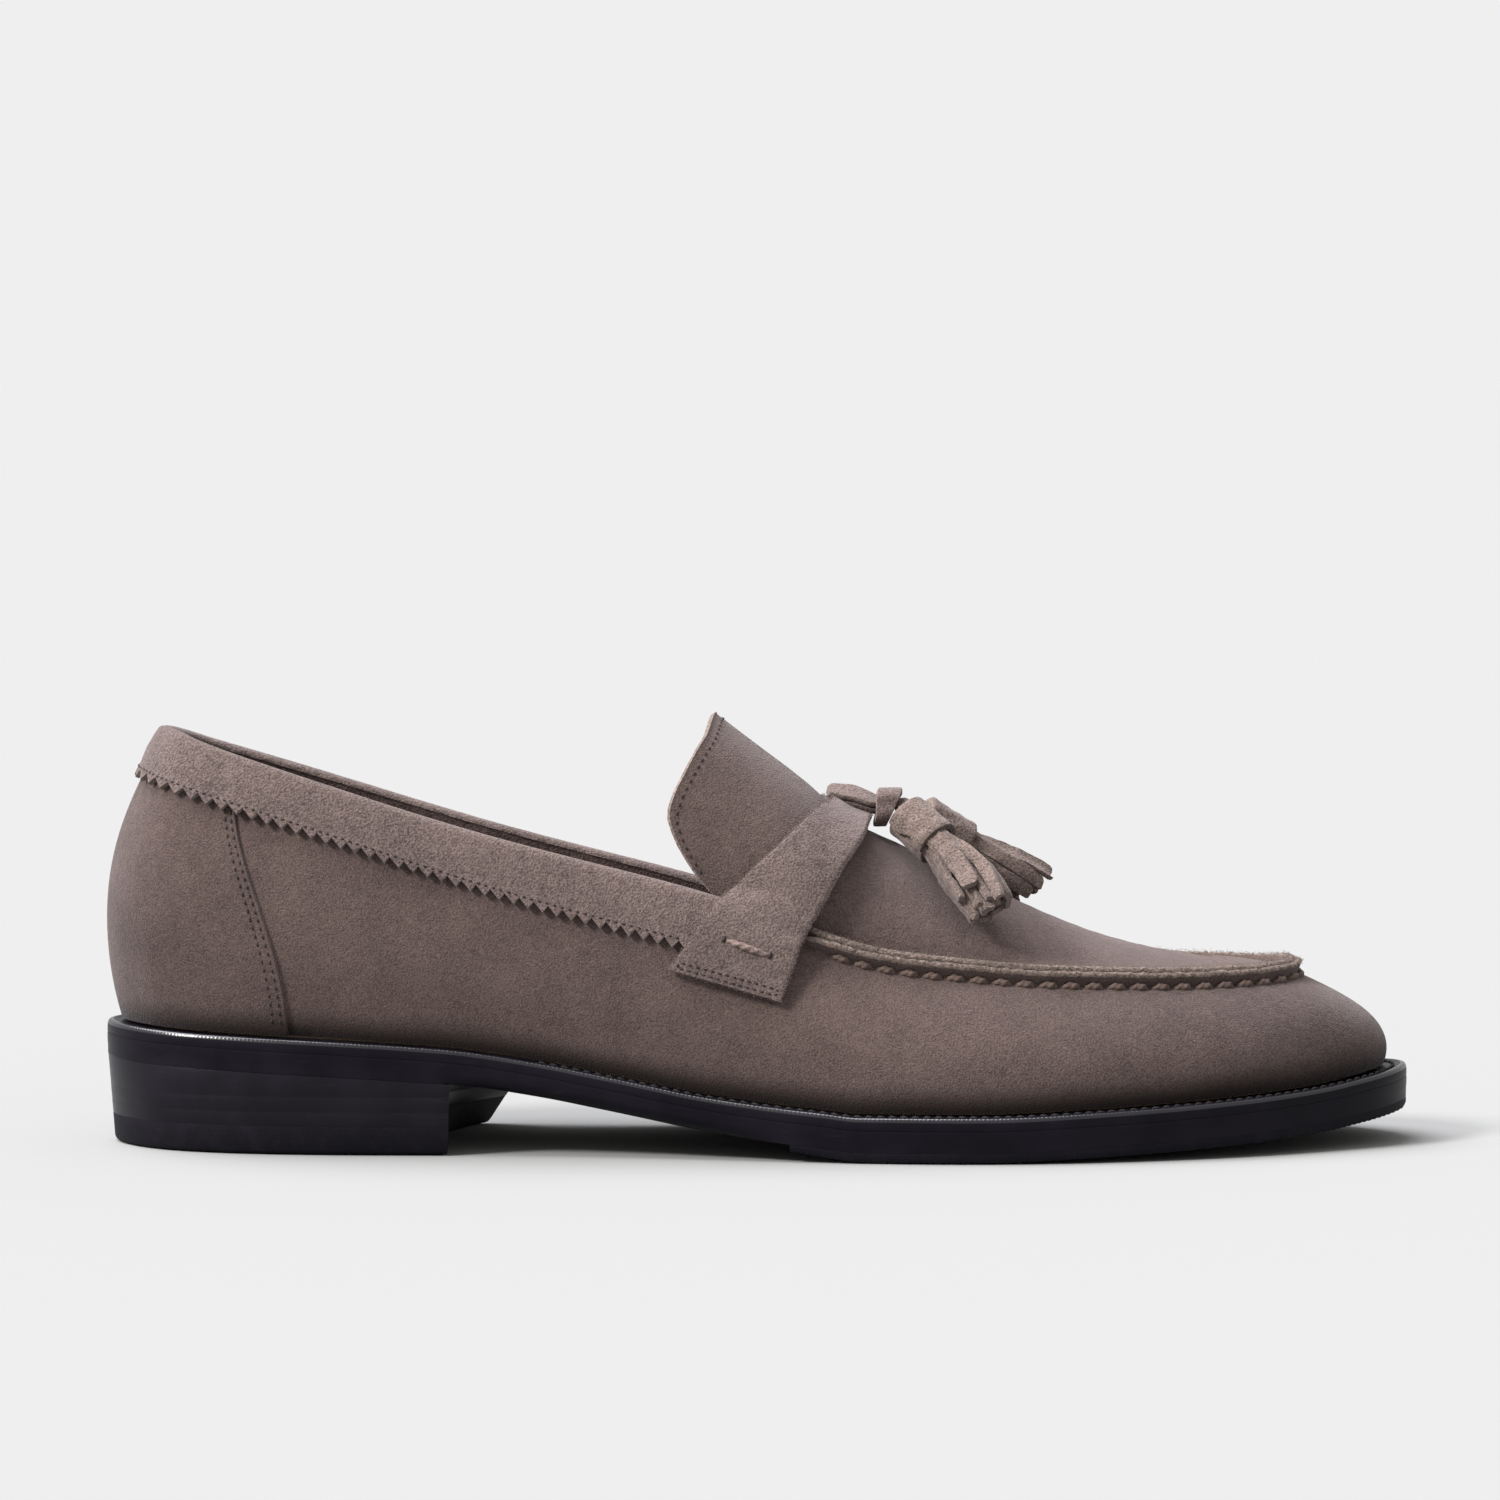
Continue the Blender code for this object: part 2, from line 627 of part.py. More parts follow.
def heel_level(inset, height, rows=14, columns=13):
    """A grid over the heel at one level: rows from its back to its breast, columns from the outer side
    to the inner side."""
    points = OUTLINE - inset * OUTLINE_NORMAL
    heel = int(np.argmin(points[:, 0]))
    loop = np.roll(points, -heel, axis=0)
    sides = []
    for way in (loop[:700], np.vstack([loop[:1], loop[:-700:-1]])):
        z = height(way[:, 0]) if callable(height) else height
        end = int(np.argmax(way[:, 0] > breast(way[:, 1], z)))
        run = np.concatenate([[0], np.cumsum(np.linalg.norm(np.diff(way[:end + 1], axis=0), axis=1))])
        first = 0.008
        at = first + (run[-1] - first) * np.linspace(0, 1, rows) ** 1.15
        sides.append([np.interp(at, run, way[:end + 1, i]) for i in (0, 1)])
    across = 0.5 - 0.5 * np.cos(np.linspace(0, pi, columns))
    grid = np.empty((rows, columns, 3))
    (xa, ya), (xb, yb) = sides
    back_y = ya[0] + (yb[0] - ya[0]) * across
    near = np.vstack([loop[-80:], loop[:80]])
    back_bow = np.interp(back_y, near[::-1, 1], near[::-1, 0]) - (xa[0] + (xb[0] - xa[0]) * across)
    back_bow[0] = back_bow[-1] = 0
    front_y = ya[-1] + (yb[-1] - ya[-1]) * across
    front_z = height(BREAST_X) if callable(height) else height
    front_bow = breast(front_y, front_z) - (xa[-1] + (xb[-1] - xa[-1]) * across)
    front_bow -= front_bow[0] + (front_bow[-1] - front_bow[0]) * across
    for i in range(rows):
        share = i / (rows - 1)
        bow = (1 - share) ** 2 * back_bow + share**2 * front_bow
        grid[i, :, 0] = xa[i] + (xb[i] - xa[i]) * across + bow
        grid[i, :, 1] = ya[i] + (yb[i] - ya[i]) * across
    grid[..., 2] = height(grid[..., 0]) if callable(height) else height
    return grid


def stacked_grids(grids):
    """Vertices and faces of a solid between grids, from the top one to the bottom one."""
    rows, columns = grids[0].shape[:2]
    size = rows * columns
    number = np.arange(size).reshape(rows, columns)
    edge = list(number[0, :-1]) + list(number[:-1, -1]) + list(number[-1, :0:-1]) + list(number[:0:-1, 0])
    faces = []
    last = (len(grids) - 1) * size
    for i in range(rows - 1):
        for j in range(columns - 1):
            quad = (number[i, j], number[i + 1, j], number[i + 1, j + 1], number[i, j + 1])
            faces.append(quad)
            faces.append(tuple(last + k for k in reversed(quad)))
    for level in range(len(grids) - 1):
        a, b = level * size, (level + 1) * size
        for k, n in zip(edge, edge[1:] + edge[:1]):
            faces.append((a + k, a + n, b + n, b + k))
    return np.concatenate([grid.reshape(-1, 3) for grid in grids]), faces


def build_heel():
    split = TOP_PIECE_THICK
    mid = HEEL_INSET + HEEL_TAPER * (1 - split / HEEL_HEIGHT)
    stack = [
        heel_level(HEEL_INSET, lambda x: underside(x) - GAP),
        heel_level(HEEL_INSET + HEEL_TAPER * 0.35, 0.0100),
        heel_level(mid, split + GAP),
    ]
    mesh_object("heel_stack", *stacked_grids(stack), SOLE_BLACK)
    top_piece = [
        heel_level(mid, split),
        heel_level(HEEL_INSET + HEEL_TAPER, 0.0006),
        heel_level(HEEL_INSET + HEEL_TAPER + 0.0006, 0.0),
    ]
    mesh_object("heel_top_piece", *stacked_grids(top_piece), RUBBER_BLACK)


def upper_columns():
    """Places round the last for the upper's columns: closer at heel and toe, and a pair at each lap."""
    dense = np.linspace(0, PERIOD, 4001)
    to_end = np.minimum(np.abs(dense - TOE_T), np.minimum(dense, PERIOD - dense))
    weight = 1 + 1.1 * np.exp(-((to_end / 0.040) ** 2))
    run = np.concatenate([[0], np.cumsum((weight[1:] + weight[:-1]) / 2)])
    places = np.interp(np.arange(76) / 76 * run[-1], run, dense)
    laps = np.array([LAP_LATERAL, LAP_MEDIAL])
    far = np.abs(places[:, None] - laps[None]).min(1) > 0.003
    pairs = [lap + side * LAP_HALF for lap in laps for side in (-1, 1)]
    return np.sort(np.concatenate([places[far], pairs]))


UPPER_LEVELS = np.array((0.0, 0.10, 0.24, 0.38, 0.52, 0.65, 0.77, 0.88, 1.0))


def build_upper():
    """Quarters and vamp as one hollow wall with its turned-up seam edge."""
    t = upper_columns()
    foot, _, _, top, inward, outward, foot_out = wall_frame(t)
    face = wall(t, UPPER_LEVELS)
    normal = wall_normals(t, UPPER_LEVELS)
    lip = lip_share(top[:, 0])[:, None]
    outer = face - normal * lap_depth(t)[:, None, None]
    inner = face - normal * WALL
    inner[:, 0] = foot - foot_out * WALL
    inner[:, -1] = top + lip * inward * LIP_THICK - outward * WALL
    rise = (1 - lip) * inward * 0.0002 + lip * outward * LIP_HEIGHT
    across = (1 - lip) * outward * -WALL + lip * inward * LIP_THICK
    outer = np.concatenate([outer, (outer[:, -1] + rise)[:, None]], axis=1)
    inner = np.concatenate([inner, (top + rise + across)[:, None]], axis=1)
    rows = outer.shape[1]
    faces = grid_faces(len(t), rows, closed=True)
    sheet_solid("upper", outer.reshape(-1, 3), inner.reshape(-1, 3), faces, SUEDE)


def seam_edge():
    """The plug's edge along the seam, as x, y and z for the outer and the inner side, from back to toe,
    with the place t and the directions at each point."""
    t = np.linspace(0, PERIOD, 1601)[:-1]
    top, inward, outward = wall_frame(t)[3:6]
    edge = top + inward * (2 * LIP_THICK + 2 * GAP)
    return t, edge, inward, outward


SEAM_T, SEAM_EDGE, SEAM_IN, SEAM_OUT = seam_edge()


def side_edge(x, outer_side):
    """The edge of the plug or tongue at x on one side: seam in front, the tongue's own side behind."""
    part = SEAM_T < TOE_T if outer_side else SEAM_T > TOE_T
    order = np.argsort(SEAM_EDGE[part, 0])
    edge = SEAM_EDGE[part][order]
    front = [np.interp(x, edge[:, 0], edge[:, i]) for i in (1, 2)]
    xs = last_x(column(TONGUE_SIDE, TONGUE_SIDE_COLUMNS, "x"))
    sign = -1 if outer_side else 1
    back_y = sign * BALL_WIDTH / 2 * through(x, xs, column(TONGUE_SIDE, TONGUE_SIDE_COLUMNS, "y"))
    back_z = COLLAR_HEIGHT * through(x, xs, column(TONGUE_SIDE, TONGUE_SIDE_COLUMNS, "z"))
    mix = ease((x - xs[-1]) / (last_x(LIP_FULL_SHARE) - xs[-1]))
    return back_y + (front[0] - back_y) * mix, back_z + (front[1] - back_z) * mix


def crest(x):
    """Height and roundness of the plug's crest at x, and the y that it runs along."""
    xs = last_x(column(CREST, CREST_COLUMNS, "x"))
    z = INSTEP_HEIGHT * through(x, xs, column(CREST, CREST_COLUMNS, "z"))
    roundness = through(x, xs, column(CREST, CREST_COLUMNS, "round"))
    share = (x - LAST_BACK) / LAST_LENGTH
    return z, roundness, CREST_SHIFT * ease((share - 0.64) / 0.24)


def arch(x, angle):
    """Points of the plug at x and at an angle round its arch, from -90 at the outer edge to 90."""
    x, angle = np.broadcast_arrays(np.asarray(x, float), np.asarray(angle, float))
    crest_z, roundness, middle = crest(x)
    outer_y, outer_z = side_edge(x, True)
    inner_y, inner_z = side_edge(x, False)
    turn = np.radians(angle)
    edge_y = np.where(turn < 0, outer_y, inner_y)
    edge_z = np.where(turn < 0, outer_z, inner_z)
    y = middle + (edge_y - middle) * np.abs(np.sin(turn))
    z = edge_z + (crest_z - edge_z) * np.maximum(np.cos(turn), 0) ** (2 / roundness)
    return np.stack([x, y, z], axis=-1)


def sheet_normals(points, faces):
    """Smooth vertex normals of a sheet."""
    normal = np.zeros_like(points)
    for face in faces:
        corner = points[list(face)]
        area = np.cross(corner[2] - corner[0], corner[-1] - corner[1])
        normal[list(face)] += area
    return normal / np.linalg.norm(normal, axis=1)[:, None]


def tongue_back(angle):
    xs = column(TONGUE_END, TONGUE_END_COLUMNS, "angle")
    return LAST_LENGTH * through(np.abs(angle), xs, column(TONGUE_END, TONGUE_END_COLUMNS, "back"))


def build_plug():
    """The plug and its tongue in one piece: columns from the seam edge up to the crest, fanned at the toe."""
    angles = np.linspace(90, 0, 8)
    rim_angles = angles[:-1]
    tip, straight, fan = last_x(TONGUE_TIP_SHARE), last_x(TONGUE_STRAIGHT_SHARE), last_x(PLUG_FAN_SHARE)
    stations = np.concatenate([np.linspace(tip, straight, 6), np.linspace(straight, fan, 13)[1:]])
    bent = np.clip((straight - stations) / (straight - tip), 0, 1)
    rows = len(rim_angles) + 1
    columns = []
    lips = []
    spine_of = []
    spine = [arch(x, 0.0) for x in stations]

    def side_column(index, sign):
        x = stations[index] - bent[index] * tongue_back(rim_angles)
        points = arch(x, sign * rim_angles)
        edge_x = points[0, 0]
        near = np.argmin(np.hypot(SEAM_EDGE[:, 0] - edge_x, SEAM_EDGE[:, 1] - points[0, 1]))
        share = float(lip_share(edge_x))
        add(points, SEAM_IN[near], SEAM_OUT[near], share, index)

    def add(points, inward, outward, share, spine_index):
        up = share * outward * LIP_HEIGHT + (1 - share) * outward * 0.0004
        lips.append((inward, outward, share))
        columns.append(np.vstack([points[:1] + up, points]))
        spine_of.append(spine_index)

    for index in range(len(stations)):
        side_column(index, -1)
    inside = (SEAM_EDGE[:, 0] > fan) & (np.abs(SEAM_T - TOE_T) < PERIOD / 8)
    places = SEAM_T[inside]
    end = spine[-1]
    for t in np.linspace(places[0], places[-1], 9)[1:-1]:
        top, inward, outward = (a[0] for a in wall_frame([t])[3:6])
        edge = top + inward * (2 * LIP_THICK + 2 * GAP)
        turn = np.radians(rim_angles)
        flat = end[:2] + (edge[:2] - end[:2]) * np.sin(turn)[:, None]
        z = edge[2] + (end[2] - edge[2]) * np.cos(turn) ** 2
        add(np.column_stack([flat, z]), inward, outward, 1.0, len(stations) - 1)
    for index in reversed(range(len(stations))):
        side_column(index, 1)

    points = np.vstack(columns + [np.array(spine)])
    first_spine = len(columns) * rows
    faces = grid_faces(len(columns), rows, closed=False)
    for j in range(len(columns) - 1):
        low, next_low = j * rows + rows - 1, (j + 1) * rows + rows - 1
        a, b = first_spine + spine_of[j], first_spine + spine_of[j + 1]
        faces.append((low, next_low, b) if a == b else (low, next_low, b, a))
    twin = points - sheet_normals(points, faces) * PLUG_THICK
    for j, (inward, outward, share) in enumerate(lips):
        top, base = points[j * rows], points[j * rows + 1]
        back = -inward * LIP_THICK
        under = -outward * PLUG_THICK
        twin[j * rows] = top + share * back + (1 - share) * under
        twin[j * rows + 1] = base + share * back + under
    sheet_solid("plug_and_tongue", points, twin, faces, SUEDE)


def band_offset(t, down, out):
    """A point of the collar: down along the wall from its top edge, and out from its face."""
    v = np.linspace(0.45, 1, 45)
    face = wall(t, v)
    normal = wall_normals(t, v)
    run = np.linalg.norm(np.diff(face, axis=1), axis=2)
    left = np.concatenate([np.cumsum(run[:, ::-1], axis=1)[:, ::-1], np.zeros((len(t), 1))], axis=1)
    points = np.empty((len(t), 3))
    for j in range(len(t)):
        order = slice(None, None, -1)
        for i in range(3):
            shifted = face[j, :, i] + out * normal[j, :, i]
            points[j, i] = np.interp(down[j], left[j, order], shifted[order])
    return points


def build_band():
    """The collar band: a pinked strip down the outside, turned over the collar's edge."""
    dense = np.linspace(0, PERIOD, 6401)
    top_x = LAST.at(dense)[:, 3]
    half = dense < TOE_T
    front = last_x(BAND_FRONT_SHARE)
    start = np.interp(front, top_x[half], dense[half])
    stop = np.interp(-front, -top_x[~half], dense[~half])
    around = np.concatenate([np.linspace(stop, PERIOD, 2001)[:-1], np.linspace(PERIOD, PERIOD + start, 2001)])
    top = wall_frame(around)[3]
    run = np.concatenate([[0], np.cumsum(np.linalg.norm(np.diff(top, axis=0), axis=1))])
    teeth = int(round(run[-1] / TOOTH_PITCH))
    t = np.interp(np.arange(2 * teeth + 1) / (2 * teeth) * run[-1], run, around)
    _, _, _, top, inward, outward, _ = wall_frame(t)
    down = BAND_DEPTH - TOOTH_DEPTH * (np.arange(len(t)) % 2)
    down *= 1 - 0.6 * ease((top[:, 0] - front) / BAND_UNDER_STRAP + 1)
    cap_low, cap_high = 0.0002 + GAP, 0.0002 + GAP + BAND_THICK
    section = [
        band_offset(t, down, BAND_GAP),
        band_offset(t, down, BAND_GAP + BAND_THICK),
        top + outward * (BAND_GAP + BAND_THICK) + inward * (cap_high - 0.0006),
        top + outward * BAND_GAP + inward * cap_high,
        top - outward * (WALL - 0.0004) + inward * cap_high,
        top - outward * WALL + inward * cap_low,
        top + outward * BAND_GAP + inward * cap_low,
    ]
    size = len(section)
    points = np.stack(section, axis=1).reshape(-1, 3)
    faces = []
    for j in range(len(t) - 1):
        for i in range(size):
            k = (i + 1) % size
            faces.append((j * size + i, (j + 1) * size + i, (j + 1) * size + k, j * size + k))
    last = (len(t) - 1) * size
    faces.append(tuple(range(size)))
    faces.append(tuple(reversed(range(last, last + size))))
    mesh_object("collar_band", points, faces, SUEDE_NAPPED)


def hull_section(x):
    """The shoe's outer line across at x, as angles from upright round the eye line, and radii."""
    v = np.linspace(0, 1, 30)
    dense = np.linspace(0, PERIOD, 801)
    sides = []
    for part in (dense < TOE_T, dense > TOE_T):
        face = wall(dense[part], v)
        line = []
        for i in range(len(v)):
            order = np.argsort(face[:, i, 0])
            line.append([np.interp(x, face[order, i, 0], face[order, i, k]) for k in (1, 2)])
        sides.append(np.array(line))
    over = arch(np.full(61, x), np.linspace(-90, 90, 61))[:, 1:]
    line = np.vstack([sides[0], over[2:-2], sides[1][::-1]])
    angle = np.degrees(np.arctan2(line[:, 0], line[:, 1] - STRAP_EYE_Z))
    radius = np.hypot(line[:, 0], line[:, 1] - STRAP_EYE_Z)
    order = np.argsort(angle)
    return angle[order], radius[order]


def hull_point(x, angle, clear):
    angles, radii = hull_section(x)
    radius = np.interp(angle, angles, radii) + clear
    turn = radians(angle)
    return np.array((x, radius * sin(turn), STRAP_EYE_Z + radius * cos(turn)))


def strap_line(share, across, extra):
    """A point of the strap: share from -1 at its outer end to 1 at its inner end, across from its back
    edge at 0 to its front edge at 1."""
    rows = np.linspace(0, 1, len(STRAP))
    get = lambda name: float(through(abs(share), rows, column(STRAP, STRAP_COLUMNS, name)))
    x = last_x(get("back_x") + (get("front_x") - get("back_x")) * across)
    angle = get("back_angle") + (get("front_angle") - get("back_angle")) * across
    clear = get("back_clear") + (get("front_clear") - get("back_clear")) * across
    return hull_point(x, angle * (1 if share > 0 else -1), clear + extra)


def build_strap():
    shares = np.linspace(-1, 1, 27)
    across = np.linspace(0, 1, 4)
    low = np.array([[strap_line(s, a, 0.0) for a in across] for s in shares]).reshape(-1, 3)
    high = np.array([[strap_line(s, a, STRAP_THICK) for a in across] for s in shares]).reshape(-1, 3)
    faces = [face[::-1] for face in grid_faces(len(shares), len(across), closed=False)]
    sheet_solid("strap", high, low, faces, SUEDE_NAPPED)


def above_crest(place):
    """A place over the plug's crest, from its shares of the last."""
    x = last_x(place[0])
    return np.array((x, BALL_WIDTH / 2 * place[1], float(crest(x)[0]) + INSTEP_HEIGHT * place[2]))


def swept_box(name, path, wide, thick, finish):
    """A flat thong along a path in the middle plane of the shoe."""
    path = np.array(path, float)
    way = np.gradient(path, axis=0)
    way /= np.linalg.norm(way, axis=1)[:, None]
    side = np.array((0.0, 1.0, 0.0))
    out = np.cross(way, side)
    corners = [
        path + side * wide / 2 + out * thick / 2,
        path - side * wide / 2 + out * thick / 2,
        path - side * wide / 2 - out * thick / 2,
        path + side * wide / 2 - out * thick / 2,
    ]
    points = np.stack(corners, axis=1).reshape(-1, 3)
    faces = []
    for j in range(len(path) - 1):
        for i in range(4):
            k = (i + 1) % 4
            faces.append((j * 4 + i, j * 4 + k, (j + 1) * 4 + k, (j + 1) * 4 + i))
    last = (len(path) - 1) * 4
    faces.append((3, 2, 1, 0))
    faces.append((last, last + 1, last + 2, last + 3))
    return mesh_object(name, points, faces, finish)


def build_thong():
    """The thong: a loop round the middle of the strap, and the knot in front of it."""
    back = strap_line(0.0, 0.0, STRAP_THICK)
    knot = above_crest(KNOT_CENTRE)
    leg = back[0] - THONG_THICK / 2 - 2.6 * GAP
    end = (knot[0] - KNOT_LENGTH / 2 - 2.2 * GAP, 0, knot[2] + KNOT_HEIGHT / 4)
    arc = [end]
    for share, rise in THONG_ARC:
        arc.append((leg + (end[0] - leg) * share, 0, back[2] + (end[2] - back[2]) * share + THONG_RISE * rise))
    arc.append((leg + THONG_THICK / 2, 0, back[2] + THONG_THICK))
    arc.append((leg, 0, back[2] + THONG_THICK / 12))
    path = np.array(arc)
    path[:, 1] += knot[1]
    swept_box("thong_loop", path, THONG_WIDTH, THONG_THICK, SUEDE_NAPPED)
    build_knot()


def build_knot():
    rings = []
    count = 14
    turn = np.linspace(0, 2 * pi, count, endpoint=False)
    centre = above_crest(KNOT_CENTRE)
    for share, size in ((-0.5, 0.72), (-0.36, 0.97), (0.0, 1.0), (0.36, 0.93), (0.5, 0.68)):
        x = np.full(count, centre[0] + share * KNOT_LENGTH)
        y = centre[1] + size * KNOT_WIDTH / 2 * np.cos(turn)
        z = centre[2] + size * KNOT_HEIGHT / 2 * np.sin(turn)
        rings.append(np.column_stack([x, y, z]))
    faces = []
    for level in range(len(rings) - 1):
        a, b = level * count, (level + 1) * count
        faces += [(a + k, a + (k + 1) % count, b + (k + 1) % count, b + k) for k in range(count)]
    last = (len(rings) - 1) * count
    faces.append(tuple(reversed(range(count))))
    faces.append(tuple(range(last, last + count)))
    mesh_object("tassel_knot", np.vstack(rings), faces, SUEDE_NAPPED)


def build_tassel(name, tie, start, neck, end):
    """A wrapped head with a fringe of strips round a core, all one solid along a bending axis."""
    tie, start, neck, end = (above_crest(p) for p in (tie, start, neck, end))
    strips = TASSEL_STRIPS
    share_of_strip = 0.84
    edges = []
    for k in range(strips):
        edges += [(k + 0.5 - share_of_strip / 2) / strips, (k + 0.5 + share_of_strip / 2) / strips]
    turn = 2 * pi * np.array(edges)

    def frame(way):
        way = way / np.linalg.norm(way)
        side = np.cross(UP, way)
        side /= np.linalg.norm(side)
        return side, np.cross(way, side)

    def ring(centre, way, radius, angles=turn, squash=1.0):
        side, over = frame(way)
        return centre + radius * (np.cos(angles)[:, None] * side + squash * np.sin(angles)[:, None] * over)

    head_way, tail_way = neck - start, end - neck
    count = len(turn)
    levels = [
        ring(tie, start - tie + 0.3 * head_way, TIE_RADIUS),
        ring(start, head_way, TASSEL_HEAD_RADIUS * 0.45),
        ring(start + 0.04 * head_way, head_way, TASSEL_HEAD_RADIUS * 0.93),
        ring(start + 0.5 * head_way, head_way, TASSEL_HEAD_RADIUS),
        ring(neck, head_way, TASSEL_HEAD_RADIUS * 1.02),
        ring(neck + 0.01 * tail_way, head_way, TASSEL_HEAD_RADIUS * 0.90),
        ring(neck + 0.01 * tail_way, head_way, TASSEL_HEAD_RADIUS * 0.90 - STRIP_THICK),
    ]
    points = [p for level in levels for p in level]
    faces = [tuple(range(count))[::-1]]
    for level in range(len(levels) - 2):
        a, b = level * count, (level + 1) * count
        faces += [(a + k, a + (k + 1) % count, b + (k + 1) % count, b + k) for k in range(count)]
    outer, inner = (len(levels) - 2) * count, (len(levels) - 1) * count
    for k in range(1, count, 2):
        n = (k + 1) % count
        faces.append((outer + k, outer + n, inner + n, inner + k))

    def axis(share):
        bend = 0.5 * (head_way / np.linalg.norm(head_way)) * np.linalg.norm(tail_way)
        return (1 - share) ** 2 * neck + 2 * share * (1 - share) * (neck + bend) + share**2 * end

    def spread(share, radius, angles):
        way = axis(min(share + 0.02, 1.0)) - axis(share - 0.02)
        return ring(axis(share), way, radius, angles, 1 - 0.12 * share)

    steps = (0.30, 0.62, 0.95)
    for k in range(strips):
        pair = turn[2 * k:2 * k + 2]
        long = 1 - 0.05 * (k * 5 % 3)
        last = [outer + 2 * k, outer + 2 * k + 1, inner + 2 * k + 1, inner + 2 * k]
        for step in steps:
            share = step * long
            radius = TASSEL_HEAD_RADIUS * 0.92 + (TASSEL_FRINGE_RADIUS - TASSEL_HEAD_RADIUS * 0.92) * share
            narrow = (pair.mean() - pair) * 0.10 * share
            far = spread(share, radius, pair + narrow)
            near = spread(share, radius - STRIP_THICK, pair + narrow)
            base = len(points)
            points += [far[0], far[1], near[1], near[0]]
            now = [base, base + 1, base + 2, base + 3]
            faces += [(last[i], last[(i + 1) % 4], now[(i + 1) % 4], now[i]) for i in range(4)]
            last = now
        faces.append(tuple(last))
    core = list(range(inner, inner + count))
    for share, radius in ((0.35, 0.0022), (0.80, 0.0024)):
        base = len(points)
        points += list(spread(share, radius, turn))
        now = list(range(base, base + count))
        faces += [(core[i], core[(i + 1) % count], now[(i + 1) % count], now[i]) for i in range(count)]
        core = now
    faces.append(tuple(core))
    mesh_object(name, np.array(points), faces, SUEDE_NAPPED)


def clear_scene():
    for obj in list(bpy.data.objects):
        bpy.data.objects.remove(obj)


def main():
    clear_scene()
    build_outsole()
    build_half_sole()
    build_welt()
    build_heel()
    build_insole()
    build_upper()
    build_plug()
    build_band()
    build_strap()
    build_thong()
    for name, places in TASSELS.items():
        build_tassel(name, *places)


main()
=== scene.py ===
"""A men's tassel loafer for the right foot: taupe suede on a black leather sole with a stacked heel.

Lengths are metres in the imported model's frame: the toe points along +X, the wearer's inner side is +Y,
up is +Z and the floor is z = 0. The sections follow the shoe as it is made, from the sole to the tassels.
"""

from math import cos, pi, radians, sin, tau

import bpy
import numpy as np
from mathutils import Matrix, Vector


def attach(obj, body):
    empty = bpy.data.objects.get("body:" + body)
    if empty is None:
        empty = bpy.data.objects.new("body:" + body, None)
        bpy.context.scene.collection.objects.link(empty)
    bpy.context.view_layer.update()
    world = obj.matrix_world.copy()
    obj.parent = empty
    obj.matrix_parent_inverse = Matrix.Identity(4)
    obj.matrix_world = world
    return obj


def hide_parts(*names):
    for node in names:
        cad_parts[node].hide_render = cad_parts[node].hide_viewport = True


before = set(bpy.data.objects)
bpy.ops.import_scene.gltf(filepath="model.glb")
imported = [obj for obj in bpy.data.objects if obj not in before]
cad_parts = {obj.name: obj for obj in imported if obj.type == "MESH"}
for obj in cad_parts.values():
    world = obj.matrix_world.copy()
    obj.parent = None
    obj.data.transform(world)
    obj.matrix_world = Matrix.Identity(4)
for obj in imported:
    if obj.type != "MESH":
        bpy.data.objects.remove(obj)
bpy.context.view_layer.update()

# The camera stands a pace and a half off the outer side, a little above the collar, and looks slightly
# down on the middle of the shoe.
EYE = Vector((-0.00185, -1.5, 0.1753))
AIM = Vector((-0.00185, 0.0, 0.0896))
lens = bpy.data.cameras.new("camera")
lens.sensor_width = 36.0
lens.lens = 156.67
camera = bpy.data.objects.new("camera", lens)
camera.location = EYE
camera.rotation_euler = (AIM - EYE).to_track_quat("-Z", "Y").to_euler()
bpy.context.scene.collection.objects.link(camera)
bpy.context.scene.camera = camera

# The studio: a wide sheet of pale paper in a bright even room, a broad soft light overhead and a smaller
# one from the heel's side, which throws the strap's shadow towards the toe. The paper is toned so that it
# shows just as bright as the room behind it.
ROOM_LIGHT = 0.863
PAPER_SIZE = 400.0
PAPER_DROP = 0.0003
SOFT_LIGHTS = (
    ("overhead", (-0.42, 0.18, 1.0), 50.0, 6.6, (0.97, 0.98, 1.03)),
    ("heel_side", (-0.90, -0.52, 0.80), 14.0, 4.5, (1.0, 0.99, 0.97)),
)
bpy.context.scene.view_settings.view_transform = "Standard"
room = bpy.data.worlds.new("room")
room.use_nodes = True
room.node_tree.nodes["Background"].inputs["Color"].default_value = (1.0, 1.0, 1.0, 1.0)
room.node_tree.nodes["Background"].inputs["Strength"].default_value = ROOM_LIGHT
bpy.context.scene.world = room
for light_name, from_way, spread, strength, tint in SOFT_LIGHTS:
    lamp = bpy.data.lights.new(light_name, "SUN")
    lamp.angle = radians(spread)
    lamp.energy = strength
    lamp.color = tint
    lamp_object = bpy.data.objects.new(light_name, lamp)
    lamp_object.location = from_way
    lamp_object.rotation_euler = (-Vector(from_way)).to_track_quat("-Z", "Y").to_euler()
    bpy.context.scene.collection.objects.link(lamp_object)
paper_mesh = bpy.data.meshes.new("paper")
half_paper = PAPER_SIZE / 2
paper_corners = [(-half_paper, -half_paper, 0), (half_paper, -half_paper, 0)]
paper_corners += [(half_paper, half_paper, 0), (-half_paper, half_paper, 0)]
paper_mesh.from_pydata(paper_corners, [], [(0, 1, 2, 3)])
paper_finish = bpy.data.materials.new("paper")
paper_finish.use_nodes = True
paper_shader = paper_finish.node_tree.nodes["Principled BSDF"]
paper_light = [ROOM_LIGHT] * 3
for _, from_way, _, strength, tint in SOFT_LIGHTS:
    slope = from_way[2] / Vector(from_way).length
    paper_light = [light + strength * slope * share / pi for light, share in zip(paper_light, tint)]
paper_shader.inputs["Base Color"].default_value = (*(ROOM_LIGHT / light for light in paper_light), 1.0)
paper_shader.inputs["Roughness"].default_value = 1.0
paper_shader.inputs["Specular IOR Level"].default_value = 0.0
